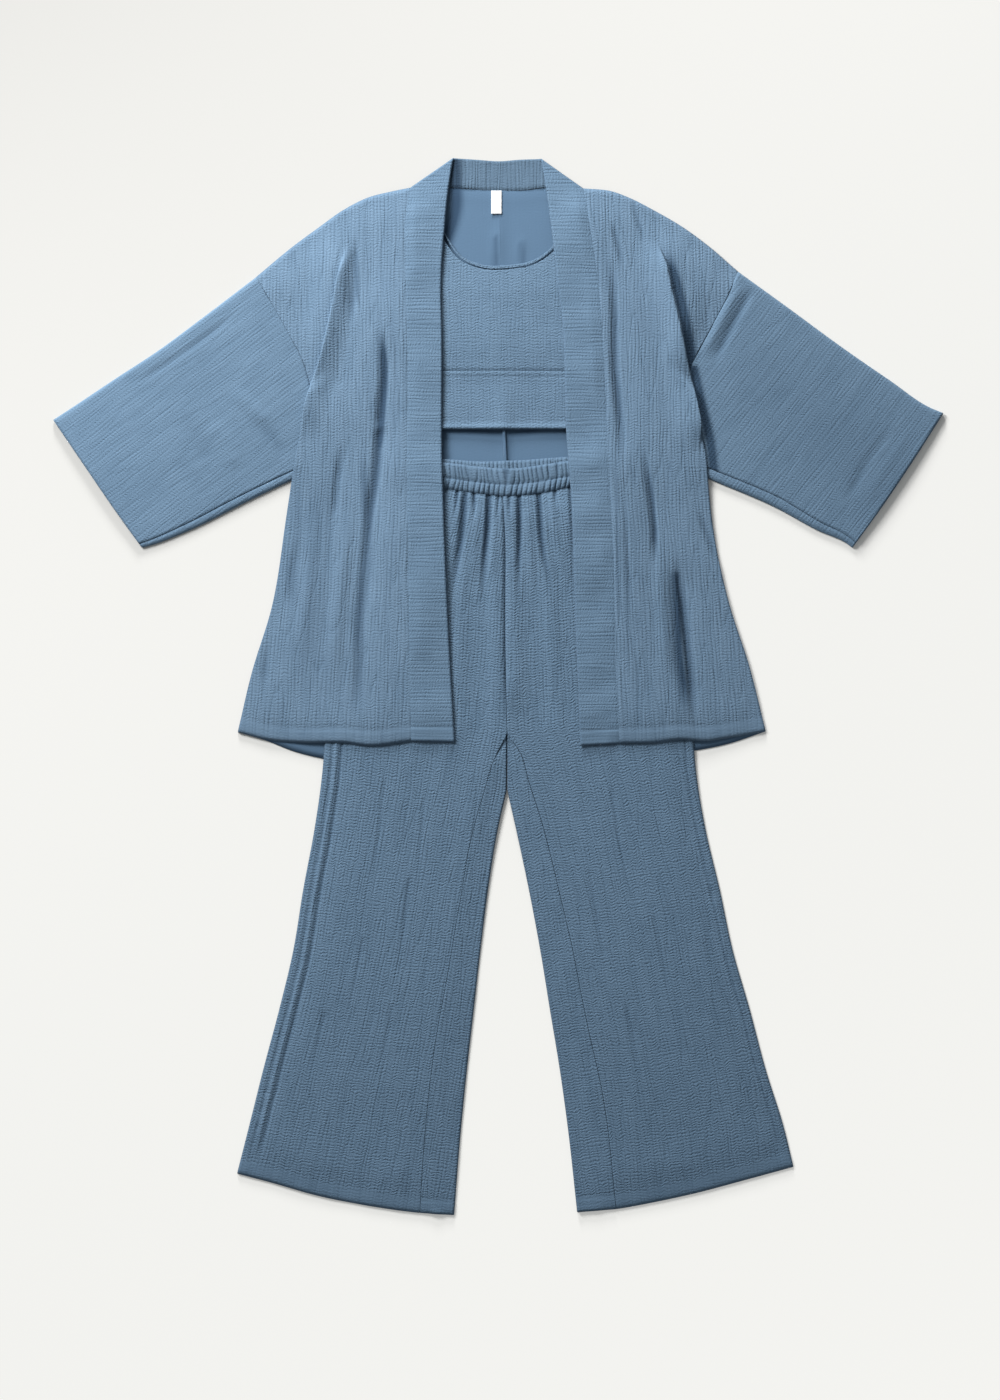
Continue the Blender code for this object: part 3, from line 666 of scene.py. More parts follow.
# Parts of the dark colour, red to blue, that a full painted shade keeps.
SHADE_TINT = (0.34, 0.40, 0.46)


def sum_of(tree: bpy.types.NodeTree, kind: str, *inputs: object) -> bpy.types.NodeSocket:
    """Adds a math node.

    Args:
        tree: Tree that it goes into.
        kind: Kind of sum.
        inputs: Sockets or numbers that it takes.

    Returns:
        Its result.
    """
    node = tree.nodes.new("ShaderNodeMath")
    node.operation = kind
    for socket, value in zip(node.inputs, inputs):
        if isinstance(value, (int, float)):
            socket.default_value = value
        else:
            tree.links.new(value, socket)
    return node.outputs[0]


def mark(tree: bpy.types.NodeTree, word: str) -> bpy.types.NodeSocket:
    """Adds a node that reads a value stored on the points.

    Args:
        tree: Tree that it goes into.
        word: Name of the value.

    Returns:
        The value.
    """
    node = tree.nodes.new("ShaderNodeAttribute")
    node.attribute_name = word
    return node.outputs["Fac"]


class CrinkleGroup:
    """Shared node group: puckers and weave of the gauze, read in metres of cloth, X across the ribs.

    MEANS holds the mean height of each layer that WORDS names.
    """

    NAME = "gauze_crinkle"
    WORDS = ("Rib", "Cross", "Crease", "Weave")
    MEANS = (0.66, 0.66, 0.85, 0.5)

    def __init__(self) -> None:
        """Builds the group's nodes."""
        self.tree = bpy.data.node_groups.new(self.NAME, "ShaderNodeTree")
        self.tree.interface.new_socket("Vector", in_out="INPUT", socket_type="NodeSocketVector")
        for word in self.WORDS:
            self.tree.interface.new_socket(word, in_out="INPUT", socket_type="NodeSocketFloat")
        for word in ("Height", "Tone"):
            self.tree.interface.new_socket(word, in_out="OUTPUT", socket_type="NodeSocketFloat")
        self.inner = self.tree.nodes.new("NodeGroupInput")
        outer = self.tree.nodes.new("NodeGroupOutput")
        place = self.tree.nodes.new("ShaderNodeSeparateXYZ")
        self.tree.links.new(self.inner.outputs["Vector"], place.inputs[0])
        layers = (self.ribs(place.outputs["X"], 0.0048, (60, 12), 11.0, (150, 26)),
                  self.ribs(place.outputs["Y"], 0.0040, (130, 50), 16.0, (200, 130)),
                  self.math("DIVIDE", self.math("MINIMUM", self.math("ABSOLUTE", self.math(
                      "SUBTRACT", self.noise(52, 7), 0.5)), 0.045), 0.045),
                  self.noise(620, 620))
        total = 0.0
        for word, layer in zip(self.WORDS, layers):
            total = self.math("MULTIPLY_ADD", layer, self.inner.outputs[word], total)
        self.tree.links.new(total, outer.inputs["Height"])
        self.tree.links.new(self.noise(13, 13, 3.0), outer.inputs["Tone"])

    @classmethod
    def get(cls) -> bpy.types.NodeTree:
        """Makes the group on first use.

        Returns:
            The node group, with outputs Height and Tone.
        """
        return bpy.data.node_groups.get(cls.NAME) or cls().tree

    def math(self, kind: str, *inputs: object) -> bpy.types.NodeSocket:
        """Adds a sum.

        Args:
            kind: Kind of sum.
            inputs: Sockets or numbers that it takes.

        Returns:
            Its result.
        """
        return sum_of(self.tree, kind, *inputs)

    def noise(self, across: float, along: float, detail: float = 1.0) -> bpy.types.NodeSocket:
        """Adds noise.

        Args:
            across: Cells per metre across the ribs.
            along: Cells per metre along them.
            detail: Layers of finer noise.

        Returns:
            Noise from 0 to 1.
        """
        stretch = self.tree.nodes.new("ShaderNodeVectorMath")
        stretch.operation = "MULTIPLY"
        stretch.inputs[1].default_value = (across, along, 1)
        self.tree.links.new(self.inner.outputs["Vector"], stretch.inputs[0])
        wave = self.tree.nodes.new("ShaderNodeTexNoise")
        wave.inputs["Scale"].default_value = 1.0
        wave.inputs["Detail"].default_value = detail
        self.tree.links.new(stretch.outputs[0], wave.inputs["Vector"])
        return wave.outputs["Fac"]

    def ribs(self, place: bpy.types.NodeSocket, pitch: float, drift: tuple[float, float], swing: float,
             patches: tuple[float, float]) -> bpy.types.NodeSocket:
        """Adds rows of uneven ribs with narrow grooves between them.

        Args:
            place: Distance across the rows.
            pitch: Distance from one to the next.
            drift: Cells per metre of the noise that sets them off.
            swing: How far it does.
            patches: Cells per metre of the noise that makes them deeper and shallower.

        Returns:
            Heights from 0 to 1.
        """
        beat = self.math("MULTIPLY_ADD", place, 2 * np.pi / pitch,
                         self.math("MULTIPLY", self.noise(*drift), swing))
        crest = self.math("POWER", self.math("MULTIPLY_ADD", self.math("SINE", beat), 0.5, 0.5), 0.6)
        depth = self.math("MINIMUM", self.math("MAXIMUM", self.math("MULTIPLY_ADD", self.noise(*patches), 3.4,
                                                                    -1.1),
                                               0.15), 1.0)
        return self.math("MULTIPLY_ADD", self.math("SUBTRACT", crest, 0.66), depth, 0.66)


@dataclass(frozen=True)
class GauzeFinish:
    """Dyed double gauze, matt with a soft nap, its colour darkened by painted shade in grooves, troughs and
    folds.

    Attributes:
        name: Name of the material.
        rib: Height of the ribs.
        cross: Height of the puckers across them.
        crease: Height of the longer creases along them.
        weave: Height of the threads.
        light: Colour on the crests of the ribs and puckers, lighter as painted light, and where the random
            mottling is pale.
        dark: Colour in their grooves and troughs, darker as painted shade, and where the mottling is dark.
        depth: Distance that a height of one stands for.
        nap: Weight of the soft sheen.
        slot: Slot of the record that it stands for; not used.
    """

    name: str
    rib: float = 0.40
    cross: float = 0.27
    crease: float = 0.25
    weave: float = 0.3
    light: tuple[float, float, float] = (0.138, 0.216, 0.306)
    dark: tuple[float, float, float] = (0.076, 0.129, 0.192)
    depth: float = 0.0012
    nap: float = 0.15
    slot: str = "gauze"

    def material(self) -> bpy.types.Material:
        """Makes the material on first use.

        Returns:
            The material.
        """
        made = bpy.data.materials.get(self.name)
        if made:
            return made
        made = bpy.data.materials.new(self.name)
        made.use_nodes = True
        tree = made.node_tree
        nodes, links = tree.nodes, tree.links
        shader = nodes["Principled BSDF"]
        cut = nodes.new("ShaderNodeUVMap")
        cut.uv_map = "cut"
        group = nodes.new("ShaderNodeGroup")
        group.node_tree = CrinkleGroup.get()
        for word, weight in (("Rib", self.rib), ("Cross", self.cross), ("Crease", self.crease),
                             ("Weave", self.weave)):
            group.inputs[word].default_value = weight
        links.new(cut.outputs["UV"], group.inputs["Vector"])
        weights = (self.rib, self.cross, self.crease, self.weave)
        middle = sum(mean * weight for mean, weight in zip(CrinkleGroup.MEANS, weights))
        # Painted light and shade: the grain's grooves and the puckers' troughs are darker, their crests
        # lighter; the mottling is random tone.
        tone = sum_of(tree, "MULTIPLY_ADD", group.outputs["Height"], PAINTED_GRAIN_SHADE,
                      0.5 - PAINTED_GRAIN_SHADE * middle - MOTTLE_TONE / 2 - PAINTED_CREST_SHADE / 2)
        tone = sum_of(tree, "MULTIPLY_ADD", group.outputs["Tone"], MOTTLE_TONE, tone)
        tone = sum_of(tree, "MULTIPLY_ADD", mark(tree, "crest"), PAINTED_CREST_SHADE, tone)
        ramp = nodes.new("ShaderNodeValToRGB")
        ramp.color_ramp.elements[0].color = (*self.dark, 1)
        ramp.color_ramp.elements[1].color = (*self.light, 1)
        links.new(tone, ramp.inputs["Fac"])
        # Painted shade of folds, creases, cast shadows and rolled edges: a darker tint, mixed in by the share
        # stored on the points.
        deep = nodes.new("ShaderNodeMix")
        deep.data_type = "RGBA"
        deep.inputs["B"].default_value = (*(share * c for share, c in zip(SHADE_TINT, self.dark)), 1)
        links.new(mark(tree, "painted_shade"), deep.inputs["Factor"])
        links.new(ramp.outputs["Color"], deep.inputs["A"])
        links.new(deep.outputs["Result"], shader.inputs["Base Color"])
        bump = nodes.new("ShaderNodeBump")
        bump.inputs["Distance"].default_value = self.depth
        links.new(group.outputs["Height"], bump.inputs["Height"])
        calm = sum_of(tree, "MULTIPLY_ADD", mark(tree, "calm"), -CALM_SHARE, 1.0)
        links.new(calm, bump.inputs["Strength"])
        links.new(bump.outputs["Normal"], shader.inputs["Normal"])
        shader.inputs["Roughness"].default_value = 0.9
        shader.inputs["Specular IOR Level"].default_value = 0.12
        shader.inputs["Sheen Weight"].default_value = self.nap
        shader.inputs["Sheen Roughness"].default_value = 0.5
        shader.inputs["Sheen Tint"].default_value = (0.55, 0.68, 0.82, 1)
        return made


BODY = GauzeFinish("gauze_body", light=(0.149, 0.229, 0.322), dark=(0.082, 0.137, 0.203))
SLEEVES = GauzeFinish("gauze_sleeves", rib=0.19, cross=0.26, crease=0.1)
BANDS = GauzeFinish("gauze_bands", rib=0.30, cross=0.22, crease=0.02, weave=0.4)
CHECKED = GauzeFinish("gauze_checked", rib=0.24, cross=0.32, crease=0.0, weave=0.5)
# Darker than the body's colours: painted shade for the fall of the light towards the foot of the set.
LEGS = GauzeFinish("gauze_legs", rib=0.32, cross=0.46, crease=0.22, weave=0.4, light=(0.130, 0.205, 0.292),
                   dark=(0.072, 0.123, 0.184))
WAIST = GauzeFinish("gauze_waist", rib=0.1, cross=0.15, crease=0.0)
NECK = GauzeFinish("gauze_neck", rib=0.4, cross=0.15, crease=0.1, light=(0.106, 0.166, 0.233),
                   dark=(0.061, 0.101, 0.149))
INSIDE = GauzeFinish("inner_face", rib=0.04, cross=0.04, crease=0.0, weave=0.1, light=(0.093, 0.160, 0.245),
                     dark=(0.077, 0.135, 0.210), slot="gauze_inside")
LABEL = GauzeFinish("label_weave", rib=0.05, cross=0.1, crease=0.0, weave=0.1, light=(0.72, 0.73, 0.74),
                    dark=(0.60, 0.61, 0.62),
                    nap=0.0, slot="label")


BACKS = ("kimono_back_left", "kimono_back_right")
LIES_ON: dict[str, tuple[str, ...]] = {
    "neck_band": BACKS, "neck_label": BACKS,
    "top_back": BACKS, "top_band_back": BACKS, "top_front": ("top_back",),
    "top_band_front": ("top_band_back",),
    "top_binding": ("top_back",),
    "waistband_back": BACKS, "waistband_front": ("waistband_back",),
    **{f"trouser_back_{side}": BACKS for side in ("left", "right")},
    **{f"trouser_{layer}_{side}": (f"trouser_back_{side}",)
       for layer in ("front", "turn") for side in ("left", "right")},
    **{f"kimono_front_{side}": (f"kimono_back_{side}", f"sleeve_{side}", f"trouser_front_{side}", "top_front")
       for side in ("left", "right")},
    **{f"band_{side}": ("top_front", "top_band_front", "waistband_front", f"trouser_front_{side}")
       for side in ("left", "right")},
}


@dataclass(frozen=True)
class Cut:
    """Flat cut of a piece of cloth.

    Attributes:
        width: Width of the cut.
        length: Length of the cut.
        area: Its area, where it isn't a rectangle.
        held: How it lies.
    """

    width: float
    length: float
    area: float | None = None
    held: str = "laid"


@dataclass
class Panel:
    """A piece of cloth between two side rows and the two lines across their ends.

    Attributes:
        name: Name of the piece.
        node: CAD node that it stands for.
        left: Left side row from top to bottom.
        right: Right side row from top to bottom.
        top: Line across the top, left to right.
        bottom: Line across the bottom, left to right.
        cut: Its flat cut.
        crinkle: Its puckers.
        finish: Its material.
        cell: Spacing of its points across and along.
        borders: How its left, right, top and bottom end.
        creases: Its folds and troughs.
        wall: Thickness of the cloth.
        smoothing: Reach of the smoothing of the node's heights.
        turn: Way that its ribs run in X and Y, nothing for along the panel.
        fan: How far its ribs spread per metre downwards.
        painted_shades: Lines of painted shade, without any height of their own.
        sewn: Numbers of the borders that meet a piece laid before it.
        blend: Distance over which they do.
        waves: Own heights and painted shade from shares across and along.
    """

    name: str
    node: str
    left: Array
    right: Array
    top: Array
    bottom: Array
    cut: Cut | None
    crinkle: Crinkle
    finish: GauzeFinish = BODY
    cell: tuple[float, float] = (0.0017, 0.0036)
    borders: tuple[Border, Border, Border, Border] = (SEAM, SEAM, HEM, HEM)
    creases: tuple[Crease, ...] = ()
    wall: float = 0.0009
    smoothing: float = 0.014
    turn: tuple[float, float] | None = None
    fan: float = 0.0
    painted_shades: tuple[Crease, ...] = ()
    sewn: tuple[int, ...] = ()
    blend: float = 0.018
    waves: Callable[[Array, Array], tuple[Array, Array]] | None = None

    def plan(self) -> Array:
        """Places of its points, a little inside its seams.

        Returns:
            Rows from top to bottom, columns from left to right, X and Y.
        """
        wide = max(length(row) for row in (self.top, self.bottom))
        long = max(length(row) for row in (self.left, self.right))
        columns, rows = max(4, round(wide / self.cell[0])) + 1, max(4, round(long / self.cell[1])) + 1
        plan = patch(self.top, self.bottom, self.left, self.right, rows, columns)
        for (edge, inner), border in zip(EDGES, self.borders):
            if border.ditch:
                step = plan[inner] - plan[edge]
                plan[edge] += border.inset * step / np.maximum(np.hypot(*step.T), 1e-9)[:, None]
        return plan

    def meet(self, stack: Stack, plan: Array, height: Array, k: int, away: Array) -> Array:
        """Brings one border to the height of the piece sewn to it.

        Args:
            stack: The pieces laid before it.
            plan: Places of its points.
            height: Their heights.
            k: Number of the border.
            away: Distances from that border.

        Returns:
            The new heights.
        """
        edge, inner = EDGES[k]
        out = plan[edge] - plan[inner]
        there = stack.top[stack.spots(plan[edge] + 0.0045 * out / np.hypot(*out.T)[:, None])]
        step = blurred(np.where(there > 0, there - height[edge], 0)[None], (0, 4))[0]
        step *= self.borders[k].seam(np.linspace(0, 1, len(step)))
        return height + (step[:, None] if k < 2 else step[None]) * (1 - smooth(away / self.blend))

    def build(self, stack: Stack) -> bpy.types.Object:
        """Builds the piece over what lies on the stack.

        Args:
            stack: The pieces laid before it.

        Returns:
            The finished object.
        """
        plan = self.plan()
        rows, columns = plan.shape[:2]
        flat = plan.reshape(-1, 2)
        step_across = np.hypot(*np.diff(plan, axis=1).transpose(2, 0, 1))
        step_along = np.hypot(*np.diff(plan, axis=0).transpose(2, 0, 1))
        across = np.concatenate([np.zeros((rows, 1)), np.cumsum(step_across, axis=1)], axis=1)
        along = np.concatenate([np.zeros((1, columns)), np.cumsum(step_along, axis=0)], axis=0)
        spacing = (step_along.mean(), step_across.mean())
        height, push = np.zeros(len(flat)), np.zeros_like(flat)
        for crease in self.creases:
            rise, shift = crease.rise(flat)
            height += rise
            push += shift
        # Painted shade in the troughs of its creases and along its lines of painted shade.
        painted_shade = np.clip(-height / FULL_SHADE_FOLD, 0, SHADE_CAP)
        for shade in self.painted_shades:
            painted_shade = np.maximum(painted_shade, -shade.rise(flat)[0] / MM)
        painted_shade = painted_shade.reshape(rows, columns)
        plan = plan + push.reshape(plan.shape)
        height += Relief(self.node, reach=self.smoothing).at(plan.reshape(-1, 2))
        height = height.reshape(rows, columns)
        lengths = (across, across[:, -1:] - across, along, along[-1:] - along)
        for k in self.sewn:
            height = self.meet(stack, plan, height, k, lengths[k])
        if self.waves is not None:
            # The waves bring painted shade of their own.
            wave, painted_ruffle_shade = self.waves(np.linspace(0, 1, columns)[None], np.linspace(0, 1, rows)[:, None])
            height, painted_shade = height + wave, np.maximum(painted_shade, painted_ruffle_shade)
        middle = across.mean(0)[None] * 0.5 + across * 0.5
        if self.turn is not None:
            middle, along = ribbed(plan, self.turn, self.fan)
        pucker = self.crinkle.rise(middle, along)
        clear, calm = np.ones_like(height, bool), np.zeros_like(height)
        down, over = np.linspace(0, 1, rows)[:, None], np.linspace(0, 1, columns)[None]
        for border, away, share in zip(self.borders, lengths, (down, down, over, over)):
            height = height + border.shape(away, share)
            if border.hem:
                calm = np.maximum(calm, 1 - smooth((away - border.hem) / CALM_WIDTH))
            if border.roll:
                pucker = pucker * smooth(away / 0.004 + 0.2)
                # Painted shade along a rolled edge.
                rim = RIM_SHADE * (1 - smooth(away / RIM_SHADE_WIDTH)) * (1 - border.seam(share))
                painted_shade = np.maximum(painted_shade, rim)
            clear &= (away > 0.0034) | (border.seam(share) < 0.5)
        height = stack.raise_over(plan, height + pucker, self.wall, spacing, clear)
        stack.add(plan, height)
        # The puckers' height, which the material paints lighter on crests and darker in troughs: painted
        # light and shade.
        tone = 0.5 + 0.5 * pucker / max(self.crinkle.height, 1e-6)
        return shell(self, np.dstack([plan, height]), np.dstack([middle, along]),
                     {"crest": tone, "painted_shade": painted_shade, "calm": calm})


def ribbed(plan: Array, turn: tuple[float, float], fan: float = 0.0) -> tuple[Array, Array]:
    """Cloth coordinates of ribs that run one way over a flat piece.

    Args:
        plan: Places, with X and Y last.
        turn: Way that the ribs run.
        fan: How far they spread per metre downwards.

    Returns:
        Distances across the ribs and along them.
    """
    x, y = plan[..., 0], plan[..., 1]
    x = x / (1 + fan * np.clip(0.3 - y, 0, None))
    long = np.hypot(*turn)
    return (x * turn[1] - y * turn[0]) / long, (x * turn[0] + y * turn[1]) / long


def shell(piece: Panel, places: Array, cut: Array, marks: dict[str, Array],
          closed: bool = False) -> bpy.types.Object:
    """Args:
        piece: The panel that it belongs to.
        places: Places of its points, rows by columns by 3.
        cut: The same points on the flat cloth, rows by columns by 2.
        marks: Values that the material reads at each point, rows by columns: crest for how high it stands,
            which it paints lighter or darker as painted light and shade, painted_shade for the share of
            painted shade, calm for how flat its puckers are.
        closed: Whether its first and last columns are joined.

    Returns:
        The finished object.
    """
    rows, columns = places.shape[:2]
    bm = bmesh.new()
    bmesh.ops.create_grid(bm, x_segments=columns - 1, y_segments=rows - 1, size=0.5)
    mesh = bpy.data.meshes.new(piece.name)
    bm.to_mesh(mesh)
    bm.free()
    spot = np.zeros(len(mesh.vertices) * 3)
    mesh.vertices.foreach_get("co", spot)
    spot = spot.reshape(-1, 3)
    column = np.round((spot[:, 0] + 0.5) * (columns - 1)).astype(int)
    row = np.round((0.5 - spot[:, 1]) * (rows - 1)).astype(int)
    mesh.vertices.foreach_set("co", places[row, column].ravel())
    corner = np.zeros(len(mesh.loops), np.int32)
    mesh.loops.foreach_get("vertex_index", corner)
    layer = mesh.uv_layers.new(name="cut")
    layer.data.foreach_set("uv", cut[row, column][corner].ravel().astype(np.float32))
    for word, values in marks.items():
        layer = mesh.attributes.new(word, "FLOAT", "POINT")
        layer.data.foreach_set("value", values[row, column].ravel().astype(np.float32))
    mesh.polygons.foreach_set("use_smooth", np.ones(len(mesh.polygons), bool))
    ends = np.zeros(len(mesh.edges) * 2, np.int32)
    mesh.edges.foreach_get("vertices", ends)
    ends = ends.reshape(-1, 2)
    sharp = np.zeros(len(ends), bool)
    for border, numbers, at in zip(piece.borders, (column, column, row, row), (0, columns - 1, 0, rows - 1)):
        if border.ditch and not closed:
            sharp |= (numbers[ends] == at).all(1)
    mesh.attributes.new("sharp_edge", "BOOLEAN", "EDGE").data.foreach_set("value", sharp)
    mesh.materials.append(piece.finish.material())
    if closed:
        bm = bmesh.new()
        bm.from_mesh(mesh)
        bmesh.ops.remove_doubles(bm, verts=bm.verts, dist=0.00002)
        bm.to_mesh(mesh)
        bm.free()
    mesh.update()
    made = bpy.data.objects.new(piece.name, mesh)
    bpy.context.collection.objects.link(made)
    wall = made.modifiers.new("wall", "SOLIDIFY")
    wall.thickness = piece.wall
    wall.offset = -1
    declare(made, piece.node, piece.cut)
    return made


def declare(made: bpy.types.Object, node: str, cut: Cut | None) -> None:
    """Attaches a piece to the root, hides the CAD node that it stands for and logs its number of faces.

    Args:
        made: The piece.
        node: CAD node that it stands for.
        cut: Its flat cut, where it is a sheet of cloth; not used.
    """
    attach(made, "root")
    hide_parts(node)
    if cut is not None:
        under = [f"{name}_cloth" for name in LIES_ON.get(made.name.removesuffix("_cloth"), ())]
    LOG.info("%s: %d faces", made.name, len(made.data.polygons))


def ridges(*rows: tuple[float, float, float, list[tuple[float, float]]],
           ends: float | tuple[float, float] = 0.25, lean: float = 0.0) -> tuple[Crease, ...]:
    """Creases from short rows of numbers.

    Args:
        rows: Height, width to the left, width to the right and line of each, in millimetres.
        ends: Share of each one's length over which its ends fade, or the shares of its start and end.
        lean: How far their crests lean to the left, in millimetres.

    Returns:
        The creases.
    """
    ends = ends if isinstance(ends, tuple) else (ends, ends)
    return tuple(Crease(height, near, far, tuple(points), ends, lean) for height, near, far, points in rows)


@dataclass
class Sleeve:
    """A flat tube of cloth with rolled edges, its lower seam a little inside the lower edge.

    Attributes:
        side: Side of the set.
        inset: Distances of the seam from the lower edge, at the armhole, the middle and the cuff.
        cell: Spacing of its points across and along.
        roll: How far its edges round over.
        floor_roll: How far its underside rounds up at the edges.
        wall: Thickness of the cloth.
        creases: Its folds and troughs.
        painted_shades: Lines of painted shade, without any height of their own.
    """

    side: Side
    inset: tuple[float, float, float]
    cell: tuple[float, float] = (0.0017, 0.0036)
    roll: float = 0.0075
    floor_roll: float = 0.003
    wall: float = 0.0009
    creases: tuple[Crease, ...] = ()
    painted_shades: tuple[Crease, ...] = ()

    def plan(self) -> Array:
        """Places of the flat sleeve's points.

        Returns:
            Rows from the armhole to the cuff, columns from the low edge to the top, X and Y.
        """
        word = self.side.value
        root = line(f"armhole_{word}", f"armpit_{word}")[::-1]
        root = beside(root, -self.side.turn * 0.0003)
        low, top = line(f"sleeve_low_{word}"), line(f"sleeve_top_{word}")
        rows = round(length(top) / self.cell[1]) + 1
        return patch(root, line(f"cuff_{word}"), low, top, rows, 120)

    def build(self, stack: Stack) -> bpy.types.Object:
        """Builds the sleeve on the floor.

        Args:
            stack: The pieces laid before it.

        Returns:
            The finished object.
        """
        plan = self.plan()
        rows = len(plan)
        wide = np.array([length(row) for row in plan])
        share = np.linspace(0, 1, rows)
        inset = np.interp(share, (0, 0.5, 1), self.inset)
        count = round(wide.max() / self.cell[0])
        cover = np.linspace(0, 1, count)[None] * (wide - inset)[:, None] + inset[:, None]
        rest = np.concatenate([[0.0006, 0.0018, 0.004], np.linspace(0.01, 0.99, round(wide.max() / 0.006)),
                               [-0.004, -0.0018, -0.0006]])
        under = np.where(rest > 0.0055, rest * wide[:, None], np.where(rest < 0, wide[:, None] + rest, rest))
        under = under[:, ::-1]
        lip = np.linspace(0, 1, 7)[None] * inset[:, None]
        away = np.concatenate([cover, under, lip], axis=1)
        layer = np.array([1] * cover.shape[1] + [0] * under.shape[1] + [2] * lip.shape[1])
        places = np.zeros((*away.shape, 2))
        for i in range(rows):
            at = np.linspace(0, wide[i], plan.shape[1])
            for k in range(2):
                places[i, :, k] = np.interp(away[i], at, plan[i, :, k])
        flat = places.reshape(-1, 2)
        node = f"sleeve_{self.side.value}"
        folds = sum(crease.rise(flat)[0] for crease in self.creases)
        high = (Relief(node).at(flat) + folds).reshape(away.shape)
        # Painted shade in the sleeve's troughs and along its lines of painted shade, on its upper layer only.
        painted_shade_parts = [-shade.rise(flat)[0] / MM for shade in self.painted_shades]
        painted_shade = np.max([np.clip(-folds / 0.0042, 0, 0.8), *painted_shade_parts], axis=0).reshape(away.shape) * (layer == 1)
        crinkle = Crinkle(Grain.ALONG, height=0.00012, pitch=0.0064, seed=21 + self.side.turn)
        turn = (0.80, 0.60) if self.side is Side.LEFT else (0.62, 0.78)
        ribs, run = ribbed(places, turn)
        pucker = crinkle.rise(ribs, run)
        edge = np.minimum(away, wide[:, None] - away)
        middle = 0.0024
        over = middle + (high - middle) * self.rounded(edge, self.roll) + pucker * smooth(edge / 0.006)
        ditch = 0.0009 * np.exp(-(((away - inset[:, None]) / 0.0016) ** 2))
        lip_height = over - ditch - 0.0007 * smooth((inset[:, None] - away) / 0.002 + 0.5)
        down = middle * (1 - self.rounded(edge, self.floor_roll)) + 0.0002
        height = np.select([layer == 1, layer == 2], [over - ditch, lip_height], down)
        height[0] = np.maximum(height[0], self.wall + 0.0002)
        stack.add(places[:, layer == 1], height[:, layer == 1])
        stack.add(places[:, layer == 2], height[:, layer == 2])
        # The puckers' height, which the material paints lighter on crests and darker in troughs: painted
        # light and shade.
        tone = 0.5 + 0.5 * pucker / crinkle.height
        cut = Cut(0.62, 0.36, 0.165)
        piece = Panel(f"sleeve_{self.side.value}_cloth", node, *(plan[0],) * 4, cut, crinkle, SLEEVES,
                      wall=self.wall)
        turned = slice(None, None, self.side.turn)
        return shell(piece, np.dstack([places, height])[:, turned], np.dstack([ribs, run])[:, turned],
                     {"crest": tone[:, turned], "painted_shade": painted_shade[:, turned]}, closed=True)

    @staticmethod
    def rounded(away: Array, reach: float) -> Array:
        """Quarter of an ellipse, from nothing at an edge to one at its reach.

        Args:
            away: Distance from the edge.
            reach: Distance over which it rises.

        Returns:
            Shares from 0 to 1.
        """
        t = np.clip(1 - away / reach, 0, 1)
        return np.sqrt(1 - t * t)


